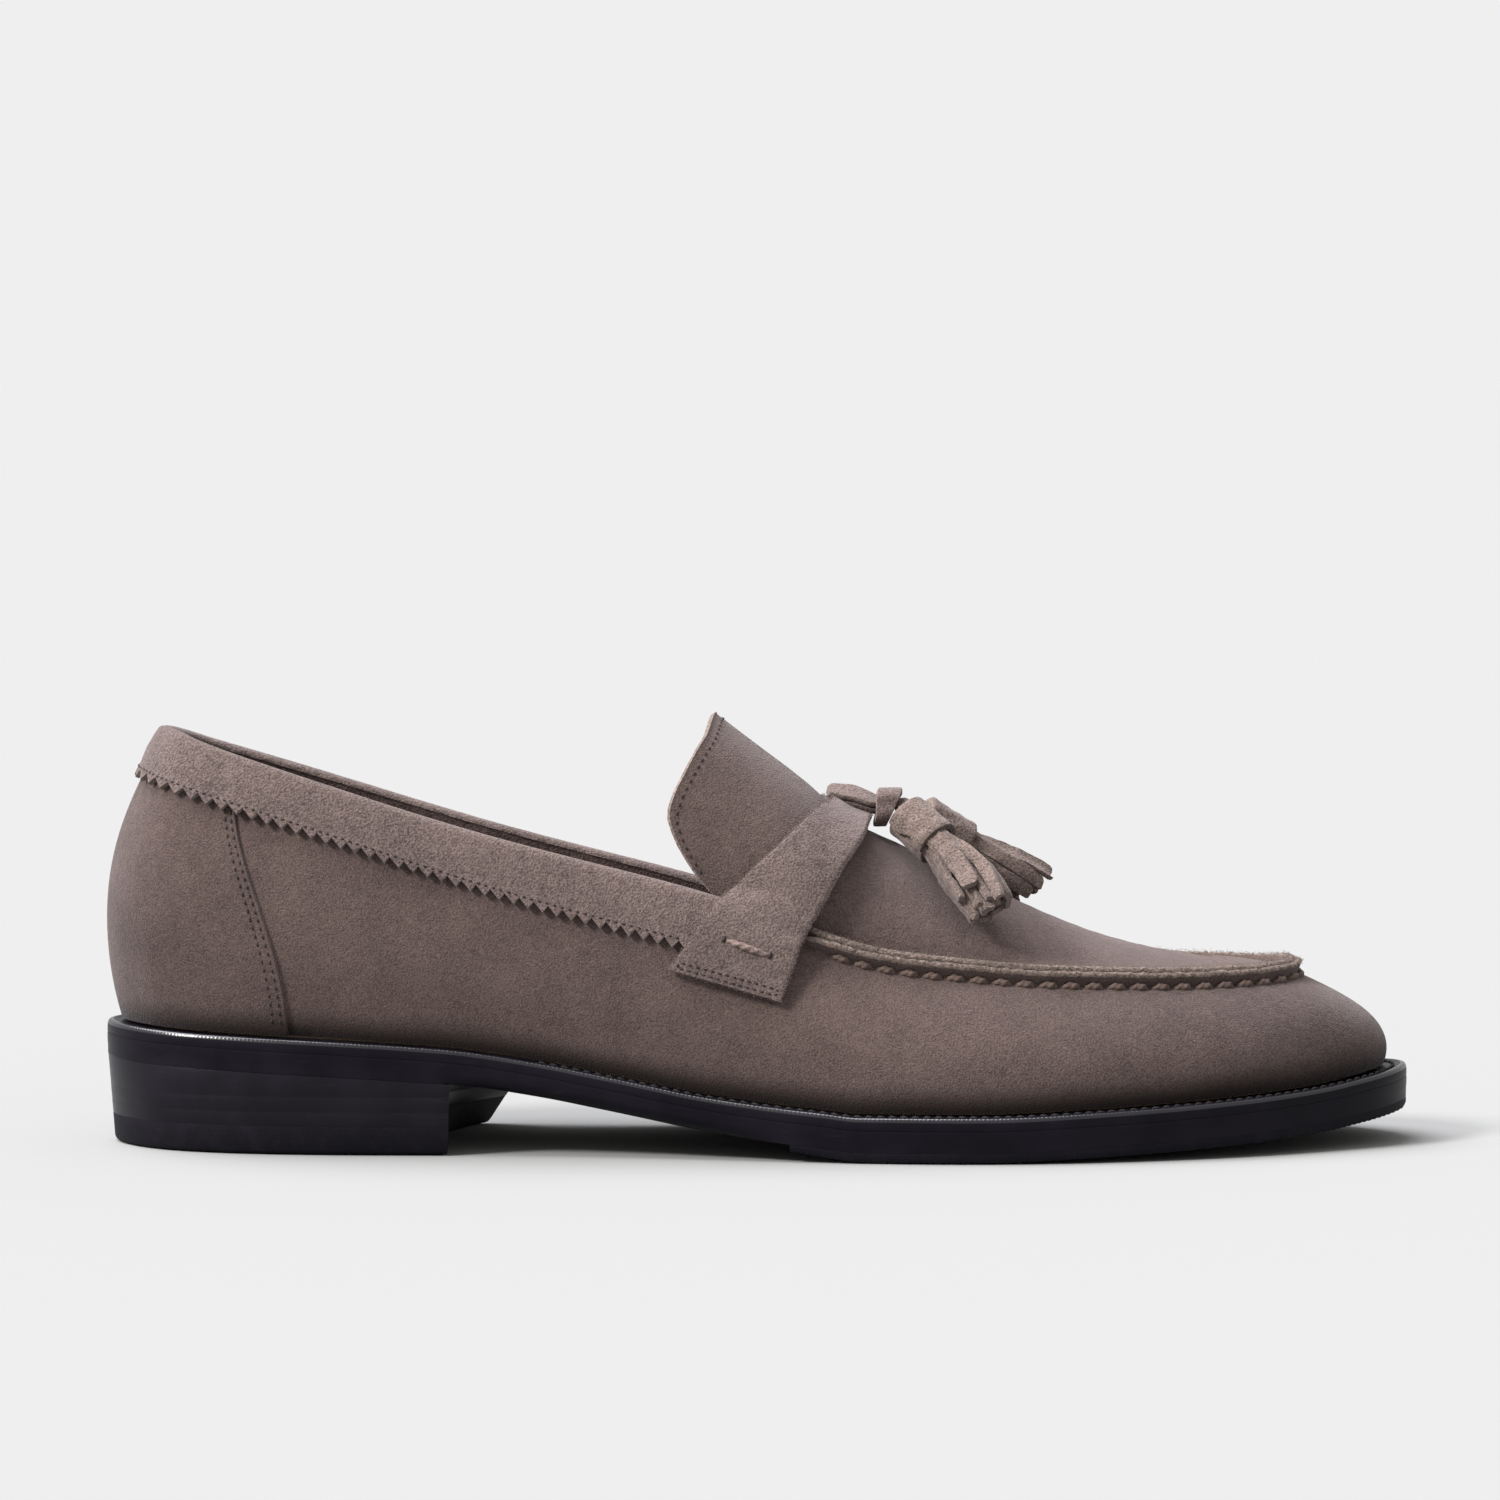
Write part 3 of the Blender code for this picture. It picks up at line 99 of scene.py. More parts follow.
paper_mesh.materials.append(paper_finish)
paper = bpy.data.objects.new("paper", paper_mesh)
paper.location = (0, 0, -PAPER_DROP)
bpy.context.scene.collection.objects.link(paper)

# Outsole: one piece of black-waxed leather from heel seat to toe, its edge burnished and its waist pared
# to a bevel. Its outline and its line from heel to toe come from the last, so the last is drawn here.
SOLE_LENGTH = 0.300
LAST_LENGTH = 0.2913
BALL_WIDTH = 0.0916
HEEL_HEIGHT = 0.0200
TOE_SPRING = 0.0073
COLLAR_HEIGHT = 0.0937
GAP = 0.0003
OUTSOLE_THICK = 0.0047
WELT_THICK = 0.0029
RUBBER_THICK = 0.0022
WELT_MARGIN = 0.0053
HEEL_MARGIN_SHARE = 0.64
RUBBER_START = SOLE_LENGTH * 0.0233
BREAST_X = SOLE_LENGTH * -0.2480
LAST_BACK = -SOLE_LENGTH / 2 + WELT_MARGIN * HEEL_MARGIN_SHARE


def table(names, *rows):
    """The columns of a table by name."""
    return dict(zip(names.split(), np.array(rows, float).T))


SOLE_LINE = table(
    "x heel rubber spring",
    (0.000, 1.000, 0.00, 0.000),
    (0.260, 0.810, 0.00, 0.000),
    (0.333, 0.660, 0.00, 0.000),
    (0.378, 0.535, 0.00, 0.000),
    (0.438, 0.360, 0.00, 0.000),
    (0.500, 0.175, 0.45, 0.000),
    (0.523, 0.110, 0.70, 0.000),
    (0.550, 0.045, 0.92, 0.000),
    (0.575, 0.000, 1.00, 0.000),
    (0.665, 0.000, 1.00, 0.000),
    (0.763, 0.000, 1.00, 0.140),
    (0.840, 0.000, 1.00, 0.300),
    (0.880, 0.000, 1.00, 0.400),
    (0.930, 0.000, 1.00, 0.575),
    (0.958, 0.000, 1.00, 0.740),
    (1.000, 0.000, 1.00, 1.000),
)
SECTIONS = table(
    "foot_x foot_lat foot_med flare_lat flare_med foot_pull top_x top_lat top_med top_z lean top_pull",
    (0.0000, 0.000, 0.000, 16, 16, 0.45, 0.0345, 0.000, 0.000, 0.998, 29, 0.33),
    (0.0124, 0.251, 0.245, 16, 16, 0.45, 0.0380, 0.131, 0.131, 0.995, 28, 0.33),
    (0.0398, 0.448, 0.437, 16, 16, 0.44, 0.0480, 0.258, 0.258, 0.983, 26, 0.33),
    (0.0879, 0.596, 0.585, 16, 16, 0.42, 0.0650, 0.362, 0.362, 0.962, 23, 0.34),
    (0.1497, 0.672, 0.659, 16, 16, 0.40, 0.0999, 0.467, 0.467, 0.926, 19, 0.35),
    (0.2389, 0.699, 0.668, 16, 19, 0.38, 0.1771, 0.572, 0.572, 0.850, 13, 0.36),
    (0.3316, 0.712, 0.607, 18, 26, 0.37, 0.2904, 0.651, 0.651, 0.741, 10, 0.37),
    (0.4209, 0.771, 0.559, 20, 30, 0.37, 0.4003, 0.707, 0.703, 0.649, 12, 0.37),
    (0.5101, 0.873, 0.622, 18, 28, 0.37, 0.5033, 0.729, 0.721, 0.555, 24, 0.37),
    (0.5856, 0.961, 0.764, 16, 22, 0.37, 0.5822, 0.707, 0.703, 0.464, 40, 0.37),
    (0.6543, 1.000, 0.906, 16, 18, 0.37, 0.6526, 0.681, 0.690, 0.429, 49, 0.37),
    (0.7161, 0.983, 0.983, 16, 16, 0.37, 0.7127, 0.642, 0.664, 0.411, 53, 0.37),
    (0.7779, 0.912, 0.987, 16, 15, 0.37, 0.7727, 0.572, 0.620, 0.402, 56, 0.38),
    (0.8397, 0.790, 0.915, 16, 15, 0.37, 0.8277, 0.475, 0.553, 0.396, 59, 0.39),
    (0.8946, 0.625, 0.776, 17, 16, 0.37, 0.8723, 0.362, 0.462, 0.396, 62, 0.41),
    (0.9427, 0.427, 0.600, 18, 17, 0.36, 0.9049, 0.230, 0.352, 0.398, 65, 0.43),
    (0.9770, 0.245, 0.418, 19, 19, 0.36, 0.9238, 0.100, 0.238, 0.403, 66, 0.44),
    (1.0000, -0.087, 0.087, 20, 20, 0.36, 0.9307, -0.074, 0.074, 0.406, 67, 0.44),
)
UP = np.array((0.0, 0.0, 1.0))


def ease(x):
    x = np.clip(x, 0, 1)
    return x * x * (3 - 2 * x)


def unit(vectors):
    return vectors / np.linalg.norm(vectors, axis=-1)[..., None]


def length_along(path):
    """Length from the start of a path to each of its points."""
    return np.concatenate([[0], np.cumsum(np.linalg.norm(np.diff(path, axis=0), axis=1))])


def through(x, xs, ys):
    """A smooth line through the points that never overshoots them, read at x."""
    xs, ys = np.asarray(xs, float), np.asarray(ys, float)
    step = np.diff(xs)
    slope = np.diff(ys) / step
    tangent = np.zeros(len(xs))
    tangent[0], tangent[-1] = slope[0], slope[-1]
    for i in range(1, len(xs) - 1):
        if slope[i - 1] * slope[i] > 0:
            a = 2 * step[i] + step[i - 1]
            b = step[i] + 2 * step[i - 1]
            tangent[i] = (a + b) / (a / slope[i - 1] + b / slope[i])
    x = np.clip(np.asarray(x, float), xs[0], xs[-1])
    i = np.clip(np.searchsorted(xs, x, side="right") - 1, 0, len(step) - 1)
    t = (x - xs[i]) / step[i]
    return (
        ys[i] * (1 + 2 * t) * (1 - t) ** 2
        + tangent[i] * step[i] * t * (1 - t) ** 2
        + ys[i + 1] * t * t * (3 - 2 * t)
        + tangent[i + 1] * step[i] * t * t * (t - 1)
    )


def ripple(points, size):
    """A smooth unevenness between about -1 and 1 whose waves are as long as size."""
    total = 0
    for k in range(7):
        turn = 2.4 * k
        way = unit(np.array((cos(turn), sin(turn), cos(1.7 * turn + 1))))
        total = total + np.sin(points @ way * (tau / size) * (0.8 + 0.07 * k) + 5.1 * k)
    return total / 3.2


class Loop:
    """A smooth closed curve through rows of numbers, with a knot for each row."""

    def __init__(self, knots, period, rows):
        self.knots = np.append(knots, period)
        self.rows = np.vstack([rows, rows[:1]])
        self.period = period
        count = len(rows)
        step = np.diff(self.knots)
        matrix = np.zeros((count, count))
        right = np.zeros((count, rows.shape[1]))
        for i in range(count):
            before, after = step[i - 1], step[i]
            matrix[i, i - 1] += before
            matrix[i, i] += 2 * (before + after)
            matrix[i, (i + 1) % count] += after
            rise = (self.rows[i + 1] - self.rows[i]) / after
            fall = (self.rows[i] - self.rows[i - 1 if i else count - 1]) / before
            right[i] = 6 * (rise - fall)
        bend = np.linalg.solve(matrix, right)
        self.bend = np.vstack([bend, bend[:1]])

    def at(self, t):
        t = np.mod(np.asarray(t, float), self.period)
        i = np.clip(np.searchsorted(self.knots, t, side="right") - 1, 0, len(self.knots) - 2)
        step = (self.knots[i + 1] - self.knots[i])[:, None]
        ahead = (self.knots[i + 1] - t)[:, None]
        past = (t - self.knots[i])[:, None]
        return (
            self.bend[i] * ahead**3 / (6 * step)
            + self.bend[i + 1] * past**3 / (6 * step)
            + (self.rows[i] / step - self.bend[i] * step / 6) * ahead
            + (self.rows[i + 1] / step - self.bend[i + 1] * step / 6) * past
        )


def last_x(share):
    return LAST_BACK + LAST_LENGTH * share


def make_last():
    """The last as one closed loop of sections: from the heel along the outer side to the toe and back."""
    half = BALL_WIDTH / 2
    get = SECTIONS
    foot_x, top_x = last_x(get["foot_x"]), last_x(get["top_x"])
    shared = [COLLAR_HEIGHT * get["top_z"], get["lean"], get["foot_pull"], get["top_pull"]]
    lateral = [foot_x, -half * get["foot_lat"], get["flare_lat"], top_x, -half * get["top_lat"]]
    medial = [foot_x, half * get["foot_med"], get["flare_med"], top_x, half * get["top_med"]]
    rows = np.vstack([np.column_stack(lateral + shared), np.column_stack(medial + shared)[-2:0:-1]])
    knots = length_along(np.vstack([rows, rows[:1]])[:, :2])
    return Loop(knots[:-1], knots[-1], rows), knots[len(foot_x) - 1]


LAST, TOE_T = make_last()
PERIOD = LAST.period


def sole_height(x, *names):
    """Sum of the named shares of the sole's line at x, each times its own driving size."""
    sizes = {"heel": HEEL_HEIGHT, "rubber": RUBBER_THICK, "spring": TOE_SPRING}
    share = x / SOLE_LENGTH + 0.5
    return sum(sizes[n] * through(share, SOLE_LINE["x"], SOLE_LINE[n]) for n in names)


def underside(x):
    return sole_height(x, "heel", "rubber", "spring")


def tread(x):
    return sole_height(x, "heel", "spring")


def outsole_top(x):
    return underside(x) + OUTSOLE_THICK


def welt_top(x):
    return outsole_top(x) + GAP + WELT_THICK


def plan_normals(before, after):
    """Outward level normals of a loop, from points a little before and after each."""
    way = unit(after - before)
    return np.column_stack([way[:, 1], -way[:, 0], np.zeros(len(way))])


def feather(t):
    """Plan points of the feather line, where the upper meets the welt, and their outward normals."""
    normal = plan_normals(LAST.at(t - 0.0004)[:, 0:2], LAST.at(t + 0.0004)[:, 0:2])[:, :2]
    return LAST.at(t)[:, 0:2], normal


def sole_edge(t):
    """Plan points of the sole's edge and their outward normals."""
    points, normal = feather(t)
    forward = ease((points[:, 0] - BREAST_X) / (RUBBER_START - BREAST_X))
    margin = WELT_MARGIN * (HEEL_MARGIN_SHARE + (1 - HEEL_MARGIN_SHARE) * forward)
    return points + margin[:, None] * normal, normal


DENSE_T = np.linspace(0, PERIOD, 3201)[:-1]
OUTLINE, OUTLINE_NORMAL = sole_edge(DENSE_T)


def outline_ring(stations, inset, points=OUTLINE, normals=OUTLINE_NORMAL):
    """The outline moved inwards and read at the same stations, from 0 at the heel to 1 at the toe, on
    both sides: heel end, outer side, toe end, inner side."""
    heel = int(np.argmin(points[:, 0]))
    points, normals = np.roll(points, -heel, axis=0), np.roll(normals, -heel, axis=0)
    toe = int(np.argmax(points[:, 0]))
    wanted = points[0, 0] + (points[toe, 0] - points[0, 0]) * stations[1:-1]
    sides = []
    for part in (slice(0, toe + 1), slice(len(points) - 1, toe - 1, -1)):
        x = points[part, 0]
        edge = [np.interp(wanted, x, a) for a in (points[part, 1], normals[part, 0], normals[part, 1])]
        sides.append((np.column_stack([wanted, edge[0]]), np.column_stack(edge[1:])))
    ring = np.vstack([points[:1], sides[0][0], points[toe:toe + 1], sides[1][0][::-1]])
    out = unit(np.vstack([normals[:1], sides[0][1], normals[toe:toe + 1], sides[1][1][::-1]]))
    if callable(inset):
        inset = inset(ring[:, 0])[:, None]
    return ring - inset * out


def lifted(ring, height):
    """A plan ring as points in space; height is a function of x."""
    return np.column_stack([ring, height(ring[:, 0])])


def capped(rings, first=0):
    """Vertices and faces of a solid stacked from rings, closed by strips across its first and last one.
    first is 0 for rings with one point at their heel end, and 1 for rings that are cut square there."""
    size = len(rings[0])
    faces = []
    for level in range(len(rings) - 1):
        a, b = level * size, (level + 1) * size
        faces += [(b + k, b + (k + 1) % size, a + (k + 1) % size, a + k) for k in range(size)]
    for base, flip in ((0, False), ((len(rings) - 1) * size, True)):
        for k in range(size // 2):
            strip = [k, k + 1, (size - first - k - 1) % size, (size - first - k) % size]
            strip = [base + i for n, i in enumerate(strip) if i not in strip[:n]]
            if len(strip) > 2:
                faces.append(tuple(reversed(strip)) if flip else tuple(strip))
    return np.vstack(rings), faces


def end_spaced(count):
    """Stations from 0 to 1, closer together at both ends."""
    return 0.5 - 0.5 * np.cos(np.linspace(0, pi, count))


def piece(name, shape, finishes, replaced=(), marks=None, sharp=40):
    """A finished piece of the shoe: its mesh with outward faces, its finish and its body. marks
    gives each face the number of its finish."""
    points, faces = shape[:2]
    mesh = bpy.data.meshes.new(name)
    mesh.from_pydata(points.tolist(), [], faces)
    mesh.calc_loop_triangles()
    corners = np.empty(len(mesh.loop_triangles) * 3, np.int32)
    mesh.loop_triangles.foreach_get("vertices", corners)
    corner = points[corners].reshape(-1, 3, 3)
    if np.einsum("ij,ij->i", corner[:, 0], np.cross(corner[:, 1], corner[:, 2])).sum() < 0:
        mesh.flip_normals()
    for finish in finishes:
        mesh.materials.append(finish)
    if marks is not None:
        mesh.polygons.foreach_set("material_index", np.asarray(marks, np.int32))
    mesh.validate()
    mesh.shade_smooth()
    mesh.set_sharp_from_angle(angle=radians(sharp))
    made = bpy.data.objects.new(name, mesh)
    bpy.context.scene.collection.objects.link(made)
    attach(made, "root")
    if replaced:
        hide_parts(*replaced)
    return made


class Signal:
    """An output of a finish's nodes. A sum or product of signals adds the Math node that works it out."""

    def __init__(self, finish, socket):
        self.finish = finish
        self.socket = socket

    def math(self, operation, first, second):
        return self.finish.node("ShaderNodeMath", {"operation": operation}, {0: first, 1: second})

    def __add__(self, other):
        return self.math("ADD", self, other)

    __radd__ = __add__

    def __sub__(self, other):
        return self.math("SUBTRACT", self, other)

    def __rsub__(self, other):
        return self.math("SUBTRACT", other, self)

    def __mul__(self, other):
        return self.math("MULTIPLY", self, other)

    __rmul__ = __mul__

    def step(self, low, high):
        """0 where the signal is at low, 1 where it is at high, smooth between."""
        settings = {"interpolation_type": "SMOOTHSTEP"}
        return self.finish.node("ShaderNodeMapRange", settings, {0: self, 1: low, 2: high})


class Finish:
    """A material whose nodes are added one by one."""

    def __init__(self, name, roughness, specular, **uniform):
        self.material = bpy.data.materials.new(name)
        self.material.use_nodes = True
        self.shader = self.material.node_tree.nodes["Principled BSDF"]
        self.shader.inputs["Roughness"].default_value = roughness
        self.shader.inputs["Specular IOR Level"].default_value = specular
        for key, value in uniform.items():
            self.shader.inputs[key.replace("_", " ").title()].default_value = value
        self.place = self.node("ShaderNodeTexCoord", {}, {}, "Object")

    def node(self, kind, settings, sockets, out=0):
        """Adds a node: its settings first, then the values or links of its sockets."""
        made = self.material.node_tree.nodes.new(kind)
        for name, value in settings.items():
            setattr(made, name, value)
        for key, value in sockets.items():
            self.feed(made.inputs[key], value)
        return Signal(self, made.outputs[out])

    def feed(self, socket, value):
        if isinstance(value, Signal):
            self.material.node_tree.links.new(value.socket, socket)
        else:
            socket.default_value = value

    def noise(self, size, detail=2.0, stretch=(1, 1, 1), roughness=0.55):
        """Noise about 0 to 1 with grains of that size, drawn out along an axis where stretch is above 1."""
        place = self.place
        if stretch != (1, 1, 1):
            shrink = tuple(1 / s for s in stretch)
            place = self.node("ShaderNodeVectorMath", {"operation": "MULTIPLY"}, {0: place, 1: shrink})
        sockets = {"Vector": place, "Scale": 1 / size, "Detail": detail, "Roughness": roughness}
        return self.node("ShaderNodeTexNoise", {}, sockets)

    def mark(self, name):
        """A number that the mesh carries at each point."""
        return self.node("ShaderNodeAttribute", {"attribute_name": name}, {}, "Fac")

    def blend(self, share, first, second):
        """A colour between two others, each a colour or a signal."""
        first, second = (c if isinstance(c, Signal) else (*c, 1.0) for c in (first, second))
        settings = {"data_type": "RGBA", "clamp_factor": True}
        return self.node("ShaderNodeMix", settings, {0: share, 6: first, 7: second}, 2)

    def bump(self, height, depth, strength=1.0):
        sockets = {"Strength": strength, "Distance": depth, "Height": height}
        self.feed(self.shader.inputs["Normal"], self.node("ShaderNodeBump", {}, sockets))

    def paint(self, socket, value):
        self.feed(self.shader.inputs[socket], value)


def black_leather(name, specular, roughness):
    """Leather edges stained black, waxed and burnished along their length."""
    made = Finish(name, roughness, specular)
    streaks = made.noise(0.0011, 3, stretch=(9, 9, 1))
    grain = made.noise(0.00035, 2)
    cloud = made.noise(0.012, 3)
    tint = made.blend(cloud.step(0.35, 0.7), (0.0030, 0.0022, 0.0045), (0.0056, 0.0044, 0.0078))
    made.paint("Base Color", made.blend(streaks.step(0.62, 0.85), tint, (0.011, 0.010, 0.0115)))
    made.paint("Roughness", roughness - 0.12 + 0.14 * streaks + 0.10 * cloud)
    made.bump(streaks * 0.7 + grain * 0.3, 0.00010, 0.7)
    return made.material


BLACK_LEATHER = black_leather("black_leather", 0.09, 0.40)


EDGE_BEVEL = 0.00012
WAIST_BEVEL = 0.0027
WAIST_RUN_IN = 0.015
WAIST_RUN_OUT = 0.02
OUTSOLE_EDGE = ((1.058, 0.0002), (1.045, 0.00005), (0.95, 0.0), (0.86, 0.0), (0.62, 0.00002), (0.42, 0.0001))
OUTSOLE_PARING = ((0.26, 0.22), (0.13, 0.50), (0.04, 0.82), (0.0, 1.0))
PARING_START = 0.0001


def waist_bevel(x):
    """How far the lower edge is pared back: a lot along the waist, hardly at all elsewhere."""
    begun = ease((x - BREAST_X) / WAIST_RUN_IN)
    ended = ease((x - RUBBER_START + WAIST_RUN_OUT) / WAIST_RUN_OUT)
    return EDGE_BEVEL + WAIST_BEVEL * (begun * (1 - ended))


def build_outsole():
    """Rings from the top down, as a share of the thickness and how far they lie inside the outline."""
    stations = end_spaced(340)
    rings = []

    def add(share, inset):
        rings.append(lifted(outline_ring(stations, inset), lambda x: underside(x) + share * OUTSOLE_THICK))

    for share, inset in OUTSOLE_EDGE:
        add(share, inset)
    for share, pared in OUTSOLE_PARING:
        add(share, lambda x: PARING_START + pared * (waist_bevel(x) - PARING_START))
    piece("outsole_dressed", capped(rings), [BLACK_LEATHER], ["outsole"])


build_outsole()

# Half sole: a thin sheet of black rubber glued under the forepart, its edge trimmed flush with the leather
# and its face moulded with fine ribs across.
RIB_PITCH = 0.00125
RIB_DEPTH = 0.00014


def black_rubber():
    made = Finish("black_rubber", 0.58, 0.10)
    dust = made.noise(0.004, 4)
    clean, dusty = (0.0038, 0.0031, 0.0056), (0.0072, 0.0061, 0.0096)
    made.paint("Base Color", made.blend(dust.step(0.4, 0.8), clean, dusty))
    made.paint("Roughness", 0.55 + 0.2 * dust)
    made.bump(made.noise(0.0005, 3), 0.00008)
    return made.material


BLACK_RUBBER = black_rubber()


def build_half_sole():
    toe, heel = OUTLINE[:, 0].max(), OUTLINE[:, 0].min()
    share = (RUBBER_START - heel) / (toe - heel)
    stations = np.concatenate([[0.0], share + (1 - share) * np.linspace(0, 1, 620)])
    ribs = lambda x: tread(x) + RIB_DEPTH * ease(0.5 + 0.9 * np.sin(tau * x / RIB_PITCH))
    top = lambda x: underside(x) - GAP / 8
    middle = lambda x: 0.5 * (underside(x) - GAP + tread(x))
    rings = []
    for inset, height in ((0.0001, top), (0.0001, middle), (0.0005, ribs), (0.0009, ribs)):
        rings.append(lifted(np.delete(outline_ring(stations, inset), 0, axis=0), height))
    piece("half_sole_dressed", capped(rings, 1), [BLACK_RUBBER], ["half_sole"])


build_half_sole()

# Heel: lifts of leather glued and nailed, trimmed to one block, blacked and waxed so that only faint lines
# tell the lifts apart. Its front is hollow. A rubber top piece with a fine rib takes the wear.
TOP_PIECE_THICK = 0.0060
HEEL_INSET = 0.0002
HEEL_TAPER = 0.0015
LIFT = 0.0035
HIGHEST_LINE = 0.0130
LINE_HALF = 0.00016
LINE_DEPTH = 0.00004
BREAST_SKEW = 0.119
BREAST_HOLLOW = 7.16
BREAST_LEAN = 0.65
BREAST_LEAN_SIDE = 0.031
BACK_RUN = 0.008
HEEL_POINTS = 1400
BACK_POINTS = 160
TOP_PIECE_EDGE = (
    (TOP_PIECE_THICK + GAP * 0.9, 0.00005), (TOP_PIECE_THICK, 0.0),
    (0.0009, 0.0), (0.0002, 0.0003), (0.0, 0.0007),
)


def breast(y, z):
    """Where the heel's hollow front face lies; on the inner side it leans forwards."""
    return BREAST_X + BREAST_SKEW * y + BREAST_HOLLOW * y * y + BREAST_LEAN * ease(y / BREAST_LEAN_SIDE) * z


def heel_level(inset, height, rows=46, columns=41):
    """A grid over the heel at one level: rows from its back to its breast, columns from side to side."""
    points = OUTLINE - inset * OUTLINE_NORMAL
    loop = np.roll(points, -int(np.argmin(points[:, 0])), axis=0)
    sides = []
    for way in (loop[:HEEL_POINTS], np.vstack([loop[:1], loop[:-HEEL_POINTS:-1]])):
        z = height(way[:, 0])
        end = int(np.argmax(way[:, 0] > breast(way[:, 1], z)))
        run = length_along(way[:end + 1])
        at = BACK_RUN + (run[-1] - BACK_RUN) * np.linspace(0, 1, rows) ** 1.15
        sides.append([np.interp(at, run, way[:end + 1, i]) for i in (0, 1)])
    across = end_spaced(columns)
    (xa, ya), (xb, yb) = sides
    back_y = ya[0] + (yb[0] - ya[0]) * across
    near = np.vstack([loop[-BACK_POINTS:], loop[:BACK_POINTS]])
    back_bow = np.interp(back_y, near[::-1, 1], near[::-1, 0]) - (xa[0] + (xb[0] - xa[0]) * across)
    back_bow[0] = back_bow[-1] = 0
    front_y = ya[-1] + (yb[-1] - ya[-1]) * across
    front_bow = breast(front_y, height(BREAST_X)) - (xa[-1] + (xb[-1] - xa[-1]) * across)
    front_bow -= front_bow[0] + (front_bow[-1] - front_bow[0]) * across
    share = np.linspace(0, 1, rows)[:, None]
    grid = np.empty((rows, columns, 3))
    straight = xa[:, None] + (xb - xa)[:, None] * across
    grid[..., 0] = straight + (1 - share) ** 2 * back_bow + share**2 * front_bow
    grid[..., 1] = ya[:, None] + (yb - ya)[:, None] * across
    grid[..., 2] = height(grid[..., 0])
    return grid


def stacked_grids(grids):
    """Vertices and faces of a solid between grids, from the top one to the bottom one."""
    rows, columns = grids[0].shape[:2]
    size = rows * columns
    number = np.arange(size).reshape(rows, columns)
    edge = [*number[0, :-1], *number[:-1, -1], *number[-1, :0:-1], *number[:0:-1, 0]]
    edge = [int(k) for k in edge]
    last = (len(grids) - 1) * size
    faces = []
    for i in range(rows - 1):
        for j in range(columns - 1):
            quad = [int(number[i + a, j + b]) for a, b in ((0, 0), (1, 0), (1, 1), (0, 1))]
            faces += [tuple(quad), tuple(last + k for k in reversed(quad))]
    for level in range(len(grids) - 1):
        a, b = level * size, (level + 1) * size
        faces += [(a + k, a + n, b + n, b + k) for k, n in zip(edge, edge[1:] + edge[:1])]
    return np.concatenate([grid.reshape(-1, 3) for grid in grids]), faces


def build_heel():
    def flat_level(z, cut, at=None):
        inset = HEEL_INSET + HEEL_TAPER * (1 - (z if at is None else at) / HEEL_HEIGHT)
        return heel_level(inset + cut, lambda x: np.full(np.shape(x), z))

    grids = [
        heel_level(HEEL_INSET + 0.0001, lambda x: underside(x) - GAP / 8),
        heel_level(HEEL_INSET, lambda x: underside(x) - GAP),
    ]
    line = HIGHEST_LINE
    while line > TOP_PIECE_THICK + 0.001:
        for up, cut in ((LINE_HALF, 0.0), (0.0, LINE_DEPTH), (-LINE_HALF, 0.0)):
            grids.append(flat_level(line + up, cut, line))
        line -= LIFT
    foot = TOP_PIECE_THICK + GAP
    grids += [flat_level(foot + 0.0002, 0.0, foot), flat_level(foot, 0.00005)]
    heel_leather = black_leather("heel_leather", 0.16, 0.34)
    piece("heel_stack_dressed", stacked_grids(grids), [heel_leather], ["heel_stack"])
    grids = [flat_level(z, cut) for z, cut in TOP_PIECE_EDGE]
    piece("heel_top_piece_dressed", stacked_grids(grids), [BLACK_RUBBER], ["heel_top_piece"])


build_heel()

# Welt: a strip of black leather all round, sewn to the upper and stitched down through the outsole. Its
# lip is rounded, waxed and marked all along by a hot wheel.
WELT_SEAT = 0.0023
WELT_LIP = (
    (0.0024, -0.00035), (0.0019, -0.0002), (0.0014, 0.0), (0.0009, -0.00002), (0.0005, -0.0002),
    (0.00025, -0.0005), (0.00010, -0.0010), (0.00004, -0.0016), (0.00002, -0.0022), (0.00002, -0.0026),
    (0.00006, -0.0029),
)
WHEEL_PITCH = 0.00095
WHEEL_DEPTH = 0.00004
WHEEL_ROWS = range(3, 7)


def tube(sections, closed):
    """Vertices and faces of a tube through sections, an array of closed rings of points."""
    count, size = sections.shape[:2]
    number = np.arange(count * size).reshape(count, size)
    j = np.arange(count if closed else count - 1)
    a, b = number[j], number[(j + 1) % count]
    quads = np.stack([a, b, np.roll(b, -1, axis=1), np.roll(a, -1, axis=1)], axis=-1).reshape(-1, 4)
    faces = [tuple(q) for q in quads.tolist()]
    if not closed:
        faces += [tuple(number[0, ::-1].tolist()), tuple(number[-1].tolist())]
    return sections.reshape(-1, 3), faces


def even_t(points_at, count):
    """Places round the last that are evenly spaced along a loop."""
    run = length_along(points_at(np.append(DENSE_T, PERIOD)))
    return np.interp(np.arange(count) / count * run[-1], run, np.append(DENSE_T, PERIOD)), run[-1]


